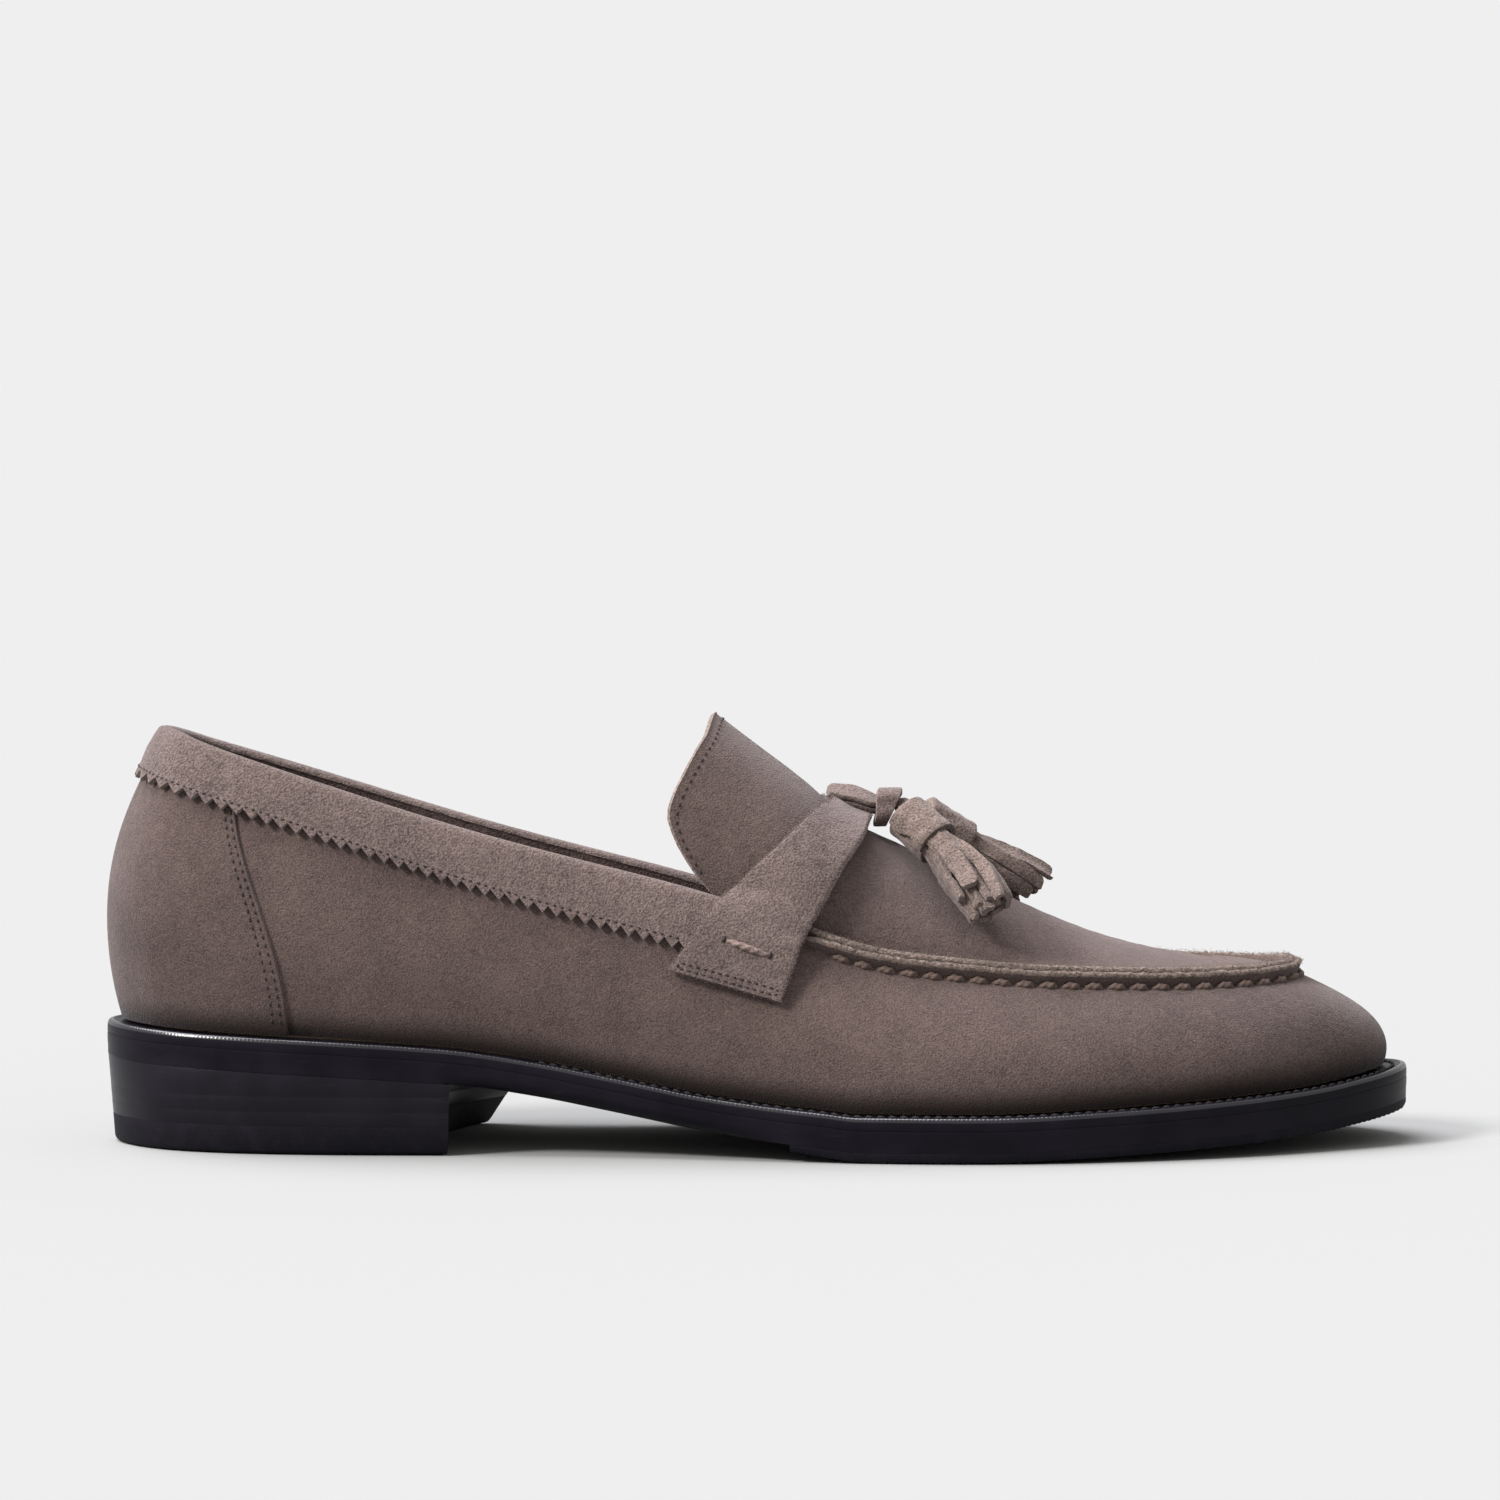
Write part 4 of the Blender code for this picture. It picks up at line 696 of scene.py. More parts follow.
def build_welt():
    t, around = even_t(lambda t: sole_edge(t)[0], 2300)
    edge, normal = sole_edge(t)
    seat = feather(t)
    notch = WHEEL_DEPTH * (0.5 - 0.5 * np.cos(tau * np.arange(len(t)) / len(t) * round(around / WHEEL_PITCH)))
    rows = []
    inner = seat[0] - WELT_SEAT * seat[1]
    rows.append(np.column_stack([inner, welt_top(inner[:, 0])]))
    for k, (inset, drop) in enumerate(WELT_LIP):
        cut = notch * (k in WHEEL_ROWS)
        flat = edge - (inset + cut)[:, None] * normal
        rows.append(np.column_stack([flat, welt_top(flat[:, 0]) + drop - cut]))
    rows.append(np.column_stack([inner, outsole_top(inner[:, 0]) + GAP]))
    marks = [int(k % len(rows) in WHEEL_ROWS) for k in range(len(rows) * len(t))]
    waxed_lip = black_leather("waxed_lip", 0.50, 0.27)
    shape = tube(np.stack(rows, axis=1), True)
    piece("welt_dressed", shape, [BLACK_LEATHER, waxed_lip], ["welt"], marks)


build_welt()

# Insole: the footbed of tan leather that shows inside the collar, lightly polished by the sock.
INSOLE_RISE = 0.0025
INSOLE_EDGE = ((0.0016, 0.0), (0.0006, 0.0002), (0.0, 0.0007))


def tan_leather():
    made = Finish("tan_leather", 0.55, 0.35)
    cloud = made.noise(0.018, 4)
    pores = made.noise(0.0006, 3)
    made.paint("Base Color", made.blend(cloud.step(0.3, 0.75), (0.235, 0.150, 0.092), (0.315, 0.215, 0.140)))
    made.paint("Roughness", 0.45 + 0.25 * cloud)
    made.bump(pores + cloud * 0.5, 0.00012, 0.6)
    return made.material


def build_insole():
    feather_points, feather_normals = feather(DENSE_T)
    stations = end_spaced(160)
    rings = []
    for cut, drop in INSOLE_EDGE:
        ring = outline_ring(stations, WELT_SEAT + 2 * GAP + cut, feather_points, feather_normals)
        rings.append(lifted(ring, lambda x, h=INSOLE_RISE - drop: welt_top(x) + h))
    rings.append(lifted(ring, lambda x: outsole_top(x) + 2 * GAP))
    piece("insole_dressed", capped(rings), [tan_leather()], ["insole"])


build_insole()

# Upper: quarters and vamp sides of taupe suede, lasted over the foot's shape and folded up along the
# moccasin seam. The back quarter laps over the front quarter, and its edge stands a millimetre proud.
WALL = 0.0020
LEATHER = 0.0013
LIP_THICK = 0.0015
LIP_HEIGHT = 0.0030
LIP_START_SHARE = 0.517
LIP_FULL_SHARE = 0.5548
LAP_FOOT_SHARE = 0.1284
LAP_STEP = 0.0009
LAP_HALF = 0.00015
LAP_FADE = 0.030
LAP_LEAN = (0.0027, 0.0047)
LAP_LEAN_REACH = 0.025
SEAM_PITCH = 0.0053
SEAM_DENT = 0.00045
WALL_WAVE = 0.00012
LIP_ROUGH = 0.00026
LIP_SHAPE = (
    (0.25, 0.0), (0.5, 0.0), (0.78, 0.02), (0.93, 0.16), (1.0, 0.45),
    (0.97, 0.75), (0.86, 1.0), (0.4, 1.04), (0.0, 1.0),
)


def wall_frame(t):
    """For each place t round the last: the four control points of its wall, and the directions at its top."""
    t = np.asarray(t, float)
    row = LAST.at(t)
    before, after = LAST.at(t - 0.0004), LAST.at(t + 0.0004)
    foot_out = plan_normals(before[:, 0:2], after[:, 0:2])
    top_out = plan_normals(before[:, 3:5], after[:, 3:5])
    foot = np.column_stack([row[:, 0], row[:, 1], welt_top(row[:, 0]) + 1.6 * GAP])
    top = row[:, 3:6]
    flare, lean = np.radians(row[:, 2])[:, None], np.radians(row[:, 6])[:, None]
    size = np.linalg.norm(top - foot, axis=1)[:, None]
    foot_handle = foot + row[:, 7:8] * size * (np.sin(flare) * foot_out + np.cos(flare) * UP)
    top_handle = top + row[:, 8:9] * size * (np.sin(lean) * top_out - np.cos(lean) * UP)
    inward = -np.sin(lean) * top_out + np.cos(lean) * UP
    outward = np.cos(lean) * top_out + np.sin(lean) * UP
    return foot, foot_handle, top_handle, top, inward, outward, foot_out


def wall(t, v):
    """Points of the outer face: one row for each t, one column for each v from foot to top."""
    foot, foot_handle, top_handle, top = wall_frame(t)[:4]
    v = np.asarray(v, float)[None, :, None]
    points = foot[:, None] * (1 - v) ** 3 + foot_handle[:, None] * 3 * v * (1 - v) ** 2
    return points + top_handle[:, None] * 3 * v * v * (1 - v) + top[:, None] * v**3


def wall_normals(t, v):
    """Outward normals of the wall at the same points."""
    t, v = np.asarray(t, float), np.asarray(v, float)
    along = wall(t + 0.0006, v) - wall(t - 0.0006, v)
    up = wall(t, np.minimum(v + 0.01, 1)) - wall(t, np.maximum(v - 0.01, 0))
    return unit(np.cross(along, up))


def lap_places():
    """Where the edge of the back quarter crosses the feather line, on the outer and the inner side."""
    dense = np.linspace(0, PERIOD, 4001)
    foot_x = LAST.at(dense)[:, 0]
    outer = dense < TOE_T
    lateral = np.interp(last_x(LAP_FOOT_SHARE), foot_x[outer], dense[outer])
    medial = np.interp(-last_x(LAP_FOOT_SHARE), -foot_x[~outer], dense[~outer])
    return lateral, medial


LAP_LATERAL, LAP_MEDIAL = lap_places()


def lap_lean(t, v):
    """Places moved towards the toe near the lap's edge, more at the top, so that the edge leans forwards."""
    near = 1 - ease(np.abs(t - LAP_LATERAL) / LAP_LEAN_REACH)
    far = 1 - ease(np.abs(t - LAP_MEDIAL) / LAP_LEAN_REACH)
    return t + (LAP_LEAN[0] + (LAP_LEAN[1] - LAP_LEAN[0]) * v) * (near - far)


def lap_depth(t):
    past = np.minimum(t - LAP_LATERAL, LAP_MEDIAL - t)
    return LAP_STEP * ease((past + LAP_HALF) / (2 * LAP_HALF)) * (1 - ease(past / LAP_FADE))


def lip_share(x):
    start, full = last_x(LIP_START_SHARE), last_x(LIP_FULL_SHARE)
    return ease((x - start) / (full - start))


SEAM_T = np.append(DENSE_T, PERIOD)
_, _, _, SEAM_TOP, SEAM_IN, SEAM_OUT, _ = wall_frame(SEAM_T)
SEAM_EDGE = SEAM_TOP + SEAM_IN * (2 * LIP_THICK + 2 * GAP)
SEAM_RUN = length_along(SEAM_TOP)
SEAM_RUN -= np.interp(TOE_T, SEAM_T, SEAM_RUN)


# Painted shade at the heel's end: how much darker the suede turns there.
HEEL_PAINTED_SHADE = 0.20


def suede(name, colour, coarse, cut_edge=0.0, shadow=False, grain=2.0, fade=0.19):
    """Suede: short brushed fibres that scatter light, in specks, soft clouds and strokes of the brush.
    fade is how much painted shade darkens it towards the toe; the heel's end gets painted shade too. shadow
    paints shade on the foot of the wall by the mesh's own rise above the welt."""
    made = Finish(name, 0.95, 0.12, sheen_weight=0.26, sheen_roughness=0.38)
    made.shader.inputs["Sheen Tint"].default_value = (0.62, 0.58, 0.60, 1.0)
    speck = made.noise(0.00040 * coarse, 2, roughness=0.6)
    tuft = made.noise(0.0017 * coarse, 2)
    cloud = made.noise(0.009, 3)
    stroke = made.noise(0.034, 4)
    tone = (speck - 0.5) * grain + (tuft - 0.5) * 0.45 + (cloud - 0.5) * 0.45 + (stroke - 0.5) * 0.40 + 0.5
    along = made.node("ShaderNodeSeparateXYZ", {}, {0: made.place})
    # Painted shade: the tone darkens towards the toe and at the heel's end.
    tone = tone - fade * along.step(0.0, 0.13) - HEEL_PAINTED_SHADE * (1 - along.step(-0.150, -0.105))
    dark = tuple(c * 0.50 for c in colour)
    light = tuple(c * 1.50 for c in colour)
    tint = made.blend(tone, dark, light)
    # Painted shadow: the foot of the wall darkens over its lowest 7.5 mm above the welt.
    if shadow:
        tint = made.blend(1 - made.mark("rise").step(0.0, 0.0075), tint, tuple(c * 0.15 for c in colour))
    if cut_edge:
        tint = made.blend(cut_edge, tint, made.blend(tone, (0.115, 0.088, 0.073), (0.29, 0.228, 0.195)))
    made.paint("Base Color", tint)
    made.paint("Roughness", 0.86 + 0.14 * speck)
    made.bump(speck * 1.0 + tuft * 0.35 + cloud * 0.4, 0.00042 * coarse, 0.9)
    return made.material


# Every suede here gets painted shade towards the toe and at the heel's end unless its fade is 0. The upper's
# suede also gets painted shadow at the foot of the wall, and the plug's suede is the same suede without the
# painted shade towards the toe.
SUEDE_COLOUR = (0.0800, 0.0565, 0.0505)
NAPPED_COLOUR = (0.112, 0.0830, 0.0755)
SUEDE = suede("suede", SUEDE_COLOUR, 1.0, shadow=True)
SUEDE_PLUG_WITHOUT_TOE_SHADE = suede("suede_plug", SUEDE_COLOUR, 1.0, fade=0.0)
SUEDE_CUT = suede("suede_cut", SUEDE_COLOUR, 1.9, cut_edge=0.55, grain=3.0)
# The lining suede also stands dark in the thong's under layer, the tassels' fringe cores and their heads'
# rims as painted shade.
LINING_AND_PAINTED_SHADE = suede("suede_lining_and_painted_shade", (0.078, 0.057, 0.053), 1.5, grain=2.6)


def build_upper():
    """The outer leather: up the face, over the turned-up seam edge and down its inside."""
    t = np.linspace(0, PERIOD, 781)[:-1]
    steps = (-0.0006, -0.00016, 0.0, 0.00016, 0.0006)
    fine = [lap + step for lap in (LAP_LATERAL, LAP_MEDIAL) for step in steps]
    keep = np.abs(t[:, None] - np.array([LAP_LATERAL, LAP_MEDIAL])).min(1) > 0.0009
    t = np.sort(np.concatenate([t[keep], fine]))
    v = np.concatenate([np.linspace(0, 0.9, 25), np.linspace(0.9, 1, 9)[1:]])
    top, inward, outward = wall_frame(t)[3:6]
    face = np.stack([wall(lap_lean(t, up), [up])[:, 0] for up in v], axis=1)
    normal = np.stack([wall_normals(lap_lean(t, up), [up])[:, 0] for up in v], axis=1)
    top = face[:, -1]
    lip = lip_share(top[:, 0])
    run = np.interp(t, SEAM_T, SEAM_RUN)
    pinch = (0.5 + 0.5 * np.cos(tau * run / SEAM_PITCH)) ** 2
    near = ease((v - 0.93) / 0.06)
    dent = SEAM_DENT * (lip * pinch)[:, None] * near
    waves = WALL_WAVE * ripple(face, 0.026) * ease(v / 0.1) * ease((1 - v) / 0.15)
    outer = face + normal * (waves - dent - lap_depth(t)[:, None])[..., None]
    lip = lip[:, None]
    sections = [outer[:, i] for i in range(len(v))]
    for up, back in LIP_SHAPE:
        rough = LIP_ROUGH * ripple(top, 0.0018) * up
        rise = (1 - lip) * inward * 0.0002 * up + lip * outward * (LIP_HEIGHT * up + rough[:, None])
        across = (1 - lip) * outward * -WALL * back + lip * inward * LIP_THICK * back * 1.10
        sections.append(top + rise + across)
    sections.append(top + lip * inward * LIP_THICK - outward * LEATHER)
    inner_v = (0.8, 0.55, 0.3, 0.1)
    inner = wall(t, inner_v) - wall_normals(t, inner_v) * LEATHER
    sections += [inner[:, i] for i in range(len(inner_v))]
    foot, foot_out = wall_frame(t)[0], wall_frame(t)[6]
    sections.append(foot - foot_out * LEATHER)
    shape = tube(np.stack(sections, axis=1), True)
    size = len(sections)
    band = (len(v) + 2, len(v) + 7)
    marks = np.array([1 if band[0] <= k % size < band[1] else 0 for k in range(len(t) * size)])
    lips = np.repeat(lip[:, 0] > 0.3, size)
    made = piece("upper_dressed", shape, [SUEDE, SUEDE_CUT], ["upper"], marks * lips, sharp=50)
    # rise is each point's height up the wall, which sets the painted shadow at the foot of the upper's suede.
    rise = np.full((len(t), size), 0.02)
    rise[:, :len(v)] = np.linalg.norm(face - face[:, :1], axis=2)
    mark = made.data.attributes.new("rise", "FLOAT", "POINT")
    mark.data.foreach_set("value", rise.ravel().astype(np.float32))


def build_lining():
    """The lining: a softer, darker suede glued inside the quarters and the vamp."""
    t = np.linspace(0, PERIOD, 401)[:-1]
    v = np.linspace(0, 1, 15)
    top, inward, outward = wall_frame(t)[3:6]
    lip = lip_share(top[:, 0])[:, None]
    normal = wall_normals(t, v)
    face = wall(t, v)
    sides = []
    for depth in (LEATHER + 0.00005, WALL):
        layer = face - normal * depth
        layer[:, -1] = top - outward * depth + lip * inward * LIP_THICK
        sides.append(layer)
    inner = sides[1] + normal * 0.00008 * ripple(face, 0.012)[..., None]
    section = np.concatenate([sides[0], inner[:, ::-1]], axis=1)
    piece("lining", tube(section, True), [LINING_AND_PAINTED_SHADE])


build_upper()
build_lining()

# Stitching of the counter: two rows of dark-brown thread just behind the edge of the back quarter.
LAP_ROWS = (0.0013, 0.0031)
STITCH_PITCH = 0.0020


def brown_thread(name, colour):
    made = Finish(name, 0.75, 0.3)
    strand = made.noise(0.0004, 2)
    dark, light = (tuple(c * share for c in colour) for share in (0.6, 1.35))
    made.paint("Base Color", made.blend(strand.step(0.3, 0.7), dark, light))
    made.bump(strand, 0.00008)
    return made.material


DARK_THREAD = brown_thread("dark_thread", (0.026, 0.018, 0.016))


def read_path(at, run, values):
    """Points or directions along a path, read at lengths along it."""
    return np.column_stack([np.interp(at, run, values[:, i]) for i in range(3)])


def stitch_row(path, normals, pitch, share):
    """Start, end and outward direction of each stitch in a row along a path. share is how much of the
    pitch the thread shows."""
    run = length_along(path)
    count = int(round(run[-1] / pitch))
    mids = (np.arange(count) + 0.5) * run[-1] / count
    half = share * run[-1] / count / 2
    ends = [read_path(mids + shift, run, path) for shift in (-half, half)]
    return ends[0], ends[1], unit(read_path(mids, run, normals))


def thread(name, rows, finish, slot, radius, lift, twist=1.5, along=8, around=8):
    """Stitches of two-ply thread, each dipping into the leather at both ends."""
    start, end, out = (np.concatenate([row[i] for row in rows]) for i in range(3))
    share = np.linspace(0, 1, along)
    hump = np.sin(pi * share) ** 0.55
    height = -0.9 * radius + (lift + 0.9 * radius) * hump
    centre = start[:, None] + (end - start)[:, None] * share[:, None] + out[:, None] * height[:, None]
    way = unit(end - start)
    side = unit(np.cross(out, way))
    turn = np.linspace(0, tau, around, endpoint=False)
    ply = 1 + 0.17 * np.cos(2 * (turn[None] + pi * twist * share[:, None]))
    size = radius * (0.35 + 0.65 * hump[:, None]) * ply
    across, up = np.cos(turn)[None, None, :, None], np.sin(turn)[None, None, :, None]
    ring = side[:, None, None] * across + out[:, None, None] * up
    points = centre[:, :, None] + ring * size[None, :, :, None]
    vertices, faces = tube(points[0], False)
    every = [tuple(i + k * len(vertices) for i in face) for k in range(len(points)) for face in faces]
    piece(name, (points.reshape(-1, 3), every), [finish], sharp=70)


def lap_rows():
    rows = []
    v = np.linspace(0.03, 0.90, 60)
    for edge, side in ((LAP_LATERAL, -1), (LAP_MEDIAL, 1)):
        for back in LAP_ROWS:
            t = lap_lean(edge + side * back, v)
            path = np.array([wall(t[i:i + 1], v[i:i + 1])[0, 0] for i in range(len(v))])
            normals = np.array([wall_normals(t[i:i + 1], v[i:i + 1])[0, 0] for i in range(len(v))])
            rows.append(stitch_row(path, normals, STITCH_PITCH, share=0.66))
    return rows


thread("counter_stitches", lap_rows(), DARK_THREAD, "suede", radius=0.00026, lift=0.00012, around=6)

# Welt stitching: the waxed thread that joins welt and outsole, in a row between the lip and the upper,
# from one side of the waist round the toe to the other.
WELT_STITCH_INSET = 0.0031


def welt_row():
    t = np.linspace(LAST.knots[6], PERIOD - LAST.knots[6], 1200)
    edge, normal = sole_edge(t)
    flat = edge - WELT_STITCH_INSET * normal
    path = np.column_stack([flat, welt_top(flat[:, 0])])
    return stitch_row(path, np.tile(UP, (len(t), 1)), pitch=0.0026, share=0.74)


WAXED_THREAD = brown_thread("waxed_thread", (0.0075, 0.0068, 0.0075))
thread("welt_stitches", [welt_row()], WAXED_THREAD, "sole_black", radius=0.00034, lift=-0.0001)

# Collar band: a folded strip of rougher suede over the topline, pinked along its lower edge and held by
# one row of dark stitches above the teeth.
BAND_DEPTH = 0.0117
BAND_GAP = 0.00070
BAND_THICK = 0.0011
TOOTH_PITCH = 0.00345
TOOTH_DEPTH = 0.0020
BAND_FRONT_SHARE = 0.481
BAND_UNDER_STRAP = 0.0080
BAND_STITCH = 0.0092
CAP_RISE = 0.0015
BAND_FACE = (
    (0.985, 0.0), (0.90, 0.0), (0.78, -0.00012), (0.62, 0.00012),
    (0.45, 0.00022), (0.28, 0.0002), (0.12, 0.0001),
)
NAPPED = suede("suede_napped", NAPPED_COLOUR, 1.3, grain=2.3)
NAPPED_CUT = suede("suede_napped_cut", NAPPED_COLOUR, 1.3, cut_edge=0.35)


def collar_point(t, down, out):
    """Points of the collar: down along the wall from its top edge, and out from its face."""
    v = np.linspace(0.45, 1, 60)
    face, normal = wall(t, v), wall_normals(t, v)
    run = np.linalg.norm(np.diff(face, axis=1), axis=2)
    left = np.concatenate([np.cumsum(run[:, ::-1], axis=1)[:, ::-1], np.zeros((len(t), 1))], axis=1)
    points, normals = np.empty((len(t), 3)), np.empty((len(t), 3))
    for j in range(len(t)):
        for i in range(3):
            points[j, i] = np.interp(down[j], left[j, ::-1], face[j, ::-1, i])
            normals[j, i] = np.interp(down[j], left[j, ::-1], normal[j, ::-1, i])
    return points + np.broadcast_to(out, len(t))[:, None] * normals, normals


def collar_places(per_tooth):
    dense = np.linspace(0, PERIOD, 6401)
    top_x = LAST.at(dense)[:, 3]
    half = dense < TOE_T
    front = last_x(BAND_FRONT_SHARE)
    start = np.interp(front, top_x[half], dense[half])
    stop = np.interp(-front, -top_x[~half], dense[~half])
    around = np.concatenate([np.linspace(stop, PERIOD, 2001)[:-1], np.linspace(PERIOD, PERIOD + start, 2001)])
    run = length_along(wall_frame(around)[3])
    teeth = int(round(run[-1] / TOOTH_PITCH))
    steps = np.arange(per_tooth * teeth + 1)
    return np.interp(steps / (per_tooth * teeth) * run[-1], run, around), steps / per_tooth


def build_band():
    t, tooth = collar_places(6)
    top, inward, outward = wall_frame(t)[3:6]
    fade = 1 - 0.6 * ease((top[:, 0] - last_x(BAND_FRONT_SHARE)) / BAND_UNDER_STRAP + 1)
    point = np.abs(np.mod(tooth, 1) - 0.5) * 2
    down = (BAND_DEPTH - TOOTH_DEPTH * (1 - point)) * fade
    face = BAND_GAP + BAND_THICK
    outer_side = ease((t - PERIOD) / 0.03)
    forward = ease((top[:, 0] + 0.09) / 0.08)
    cap_rise = (CAP_RISE + outer_side * (0.0011 + 0.0008 * forward))[:, None]
    rows = [collar_point(t, down, BAND_GAP)[0], collar_point(t, down, face - 0.0002)[0]]
    for share, pad in BAND_FACE:
        rough = 0.00006 * ripple(top + 0.01 * share, 0.004)
        rows.append(collar_point(t, down * share, face + pad + rough)[0])
    for turn in np.radians((12, 35, 58, 80, 102, 125, 150, 172)):
        reach = -0.0001 + (WALL + 0.0001 + (face - WALL) * (cos(turn) > 0)) * cos(turn)
        rough = 0.00008 * ripple(top + 0.02 * turn, 0.003)[:, None]
        rows.append(top + outward * (reach + rough) + inward * (0.0001 + cap_rise * sin(turn) ** 0.8))
    rows.append(top - outward * WALL + inward * (GAP + 0.0002))
    rows.append(top + outward * BAND_GAP + inward * (GAP + 0.0002))
    sections = np.stack(rows, axis=1)
    size = sections.shape[1]
    shape = tube(sections, False)
    marks = [int(k % size == 0) for k in range((len(t) - 1) * size)] + [1, 1]
    finishes = [NAPPED, NAPPED_CUT]
    piece("collar_band_dressed", shape, finishes, ["collar_band"], marks, sharp=45)
    path, normals = collar_point(t, BAND_STITCH * fade, face - 0.0001)
    rows = [stitch_row(path[6:-20], normals[6:-20], pitch=0.0018, share=0.62)]
    thread("collar_stitches", rows, DARK_THREAD, "suede", radius=0.00024, lift=0.00010, around=6)


build_band()

# Plug and tongue: one piece of suede, sewn by hand into the vamp with both edges standing up, and cut
# free behind the strap as the tongue, which has a facing under it and a stitch round its edge.
INSTEP_HEIGHT = 0.0708
PLUG_THICK = 0.0018
CREST = table(
    "x z round",
    (0.4169, 1.547, 2.0),
    (0.4690, 1.388, 2.0),
    (0.5033, 1.281, 2.0),
    (0.5376, 1.174, 1.9),
    (0.5490, 1.134, 1.9),
    (0.5582, 1.098, 1.8),
    (0.5685, 1.062, 1.8),
    (0.5788, 1.030, 1.7),
    (0.5953, 0.996, 1.6),
    (0.6118, 0.966, 1.5),
    (0.6406, 0.907, 1.35),
    (0.6749, 0.838, 1.2),
    (0.7092, 0.774, 1.1),
    (0.7346, 0.727, 1.0),
    (0.7741, 0.665, 1.0),
    (0.8139, 0.621, 1.0),
    (0.8397, 0.602, 1.0),
    (0.8637, 0.585, 1.0),
)
CREST_SHIFT = 0.0030
PLUG_FAN = last_x(0.8534)
TONGUE_TIP = last_x(0.469)
TONGUE_STRAIGHT = last_x(0.5308)
TONGUE_END = table(
    "angle back",
    (0, 0.0000),
    (28, 0.0065),
    (39, 0.0137),
    (52, 0.0244),
    (62, 0.0336),
    (67, 0.0364),
    (72, 0.0323),
    (78, 0.0220),
    (84, 0.0076),
    (90, -0.0137),
)
TONGUE_SIDE = table(
    "x y z",
    (0.3850, 0.638, 0.640),
    (0.4690, 0.643, 0.590),
    (0.4900, 0.655, 0.572),
)


def side_edge(x, outer_side):
    """The edge of the plug or tongue at x on one side: seam in front, the tongue's own side behind."""
    part = SEAM_T < TOE_T if outer_side else SEAM_T > TOE_T
    edge = SEAM_EDGE[part][np.argsort(SEAM_EDGE[part, 0])]
    front = [np.interp(x, edge[:, 0], edge[:, i]) for i in (1, 2)]
    xs = last_x(TONGUE_SIDE["x"])
    half = (-1 if outer_side else 1) * BALL_WIDTH / 2
    back_y = half * through(x, xs, TONGUE_SIDE["y"])
    back_z = COLLAR_HEIGHT * through(x, xs, TONGUE_SIDE["z"])
    mix = ease((x - xs[-1]) / (last_x(LIP_FULL_SHARE) - xs[-1]))
    return back_y + (front[0] - back_y) * mix, back_z + (front[1] - back_z) * mix


def crest(x):
    """Height and roundness of the plug's crest at x, and the y that it runs along."""
    xs = last_x(CREST["x"])
    z = INSTEP_HEIGHT * through(x, xs, CREST["z"])
    roundness = through(x, xs, CREST["round"])
    share = (x - LAST_BACK) / LAST_LENGTH
    return z, roundness, CREST_SHIFT * ease((share - 0.64) / 0.24)


def arch(x, angle):
    """Points of the plug at x and at an angle round its arch, from -90 at the outer edge to 90."""
    x, angle = np.broadcast_arrays(np.asarray(x, float), np.asarray(angle, float))
    crest_z, roundness, middle = crest(x)
    outer_y, outer_z = side_edge(x, True)
    inner_y, inner_z = side_edge(x, False)
    turn = np.radians(angle)
    edge_y = np.where(turn < 0, outer_y, inner_y)
    edge_z = np.where(turn < 0, outer_z, inner_z)
    y = middle + (edge_y - middle) * np.abs(np.sin(turn))
    z = edge_z + (crest_z - edge_z) * np.maximum(np.cos(turn), 0) ** (2 / roundness)
    return np.stack([x, y, z], axis=-1)


def sheet_normals(points, faces):
    """Smooth vertex normals of a sheet of quads and triangles."""
    normal = np.zeros_like(points)
    for size in (3, 4):
        some = np.array([f for f in faces if len(f) == size])
        if len(some):
            corner = points[some]
            area = np.cross(corner[:, 2] - corner[:, 0], corner[:, -1] - corner[:, 1])
            for i in range(size):
                np.add.at(normal, some[:, i], area)
    return unit(normal)


def sheet_solid(outer, inner, faces):
    """A closed solid between an open sheet and its twin, with the marks of its cut edges."""
    count = len(outer)
    edges = {(f[i], f[(i + 1) % len(f)]) for f in faces for i in range(len(f))}
    rim = sorted((a, b) for a, b in edges if (b, a) not in edges)
    solid = [tuple(f) for f in faces]
    solid += [tuple(count + i for i in reversed(f)) for f in faces]
    marks = [0] * len(solid) + [1] * len(rim)
    solid += [(b, a, count + a, count + b) for a, b in rim]
    return np.vstack([outer, inner]), solid, marks


def tongue_back(angle):
    return LAST_LENGTH * through(np.abs(angle), TONGUE_END["angle"], TONGUE_END["back"])


TONGUE_BEVEL = 0.0005
TONGUE_EDGE_THICK = 0.0010
TONGUE_TUCK = 0.0016
TONGUE_RIM = 0.0004
PLUG_LIP_WIDE = 1.26
PLUG_LIP = ((1.0, 0.45), (0.93, 0.16), (0.78, 0.02), (0.5, 0.0), (0.2, 0.0))


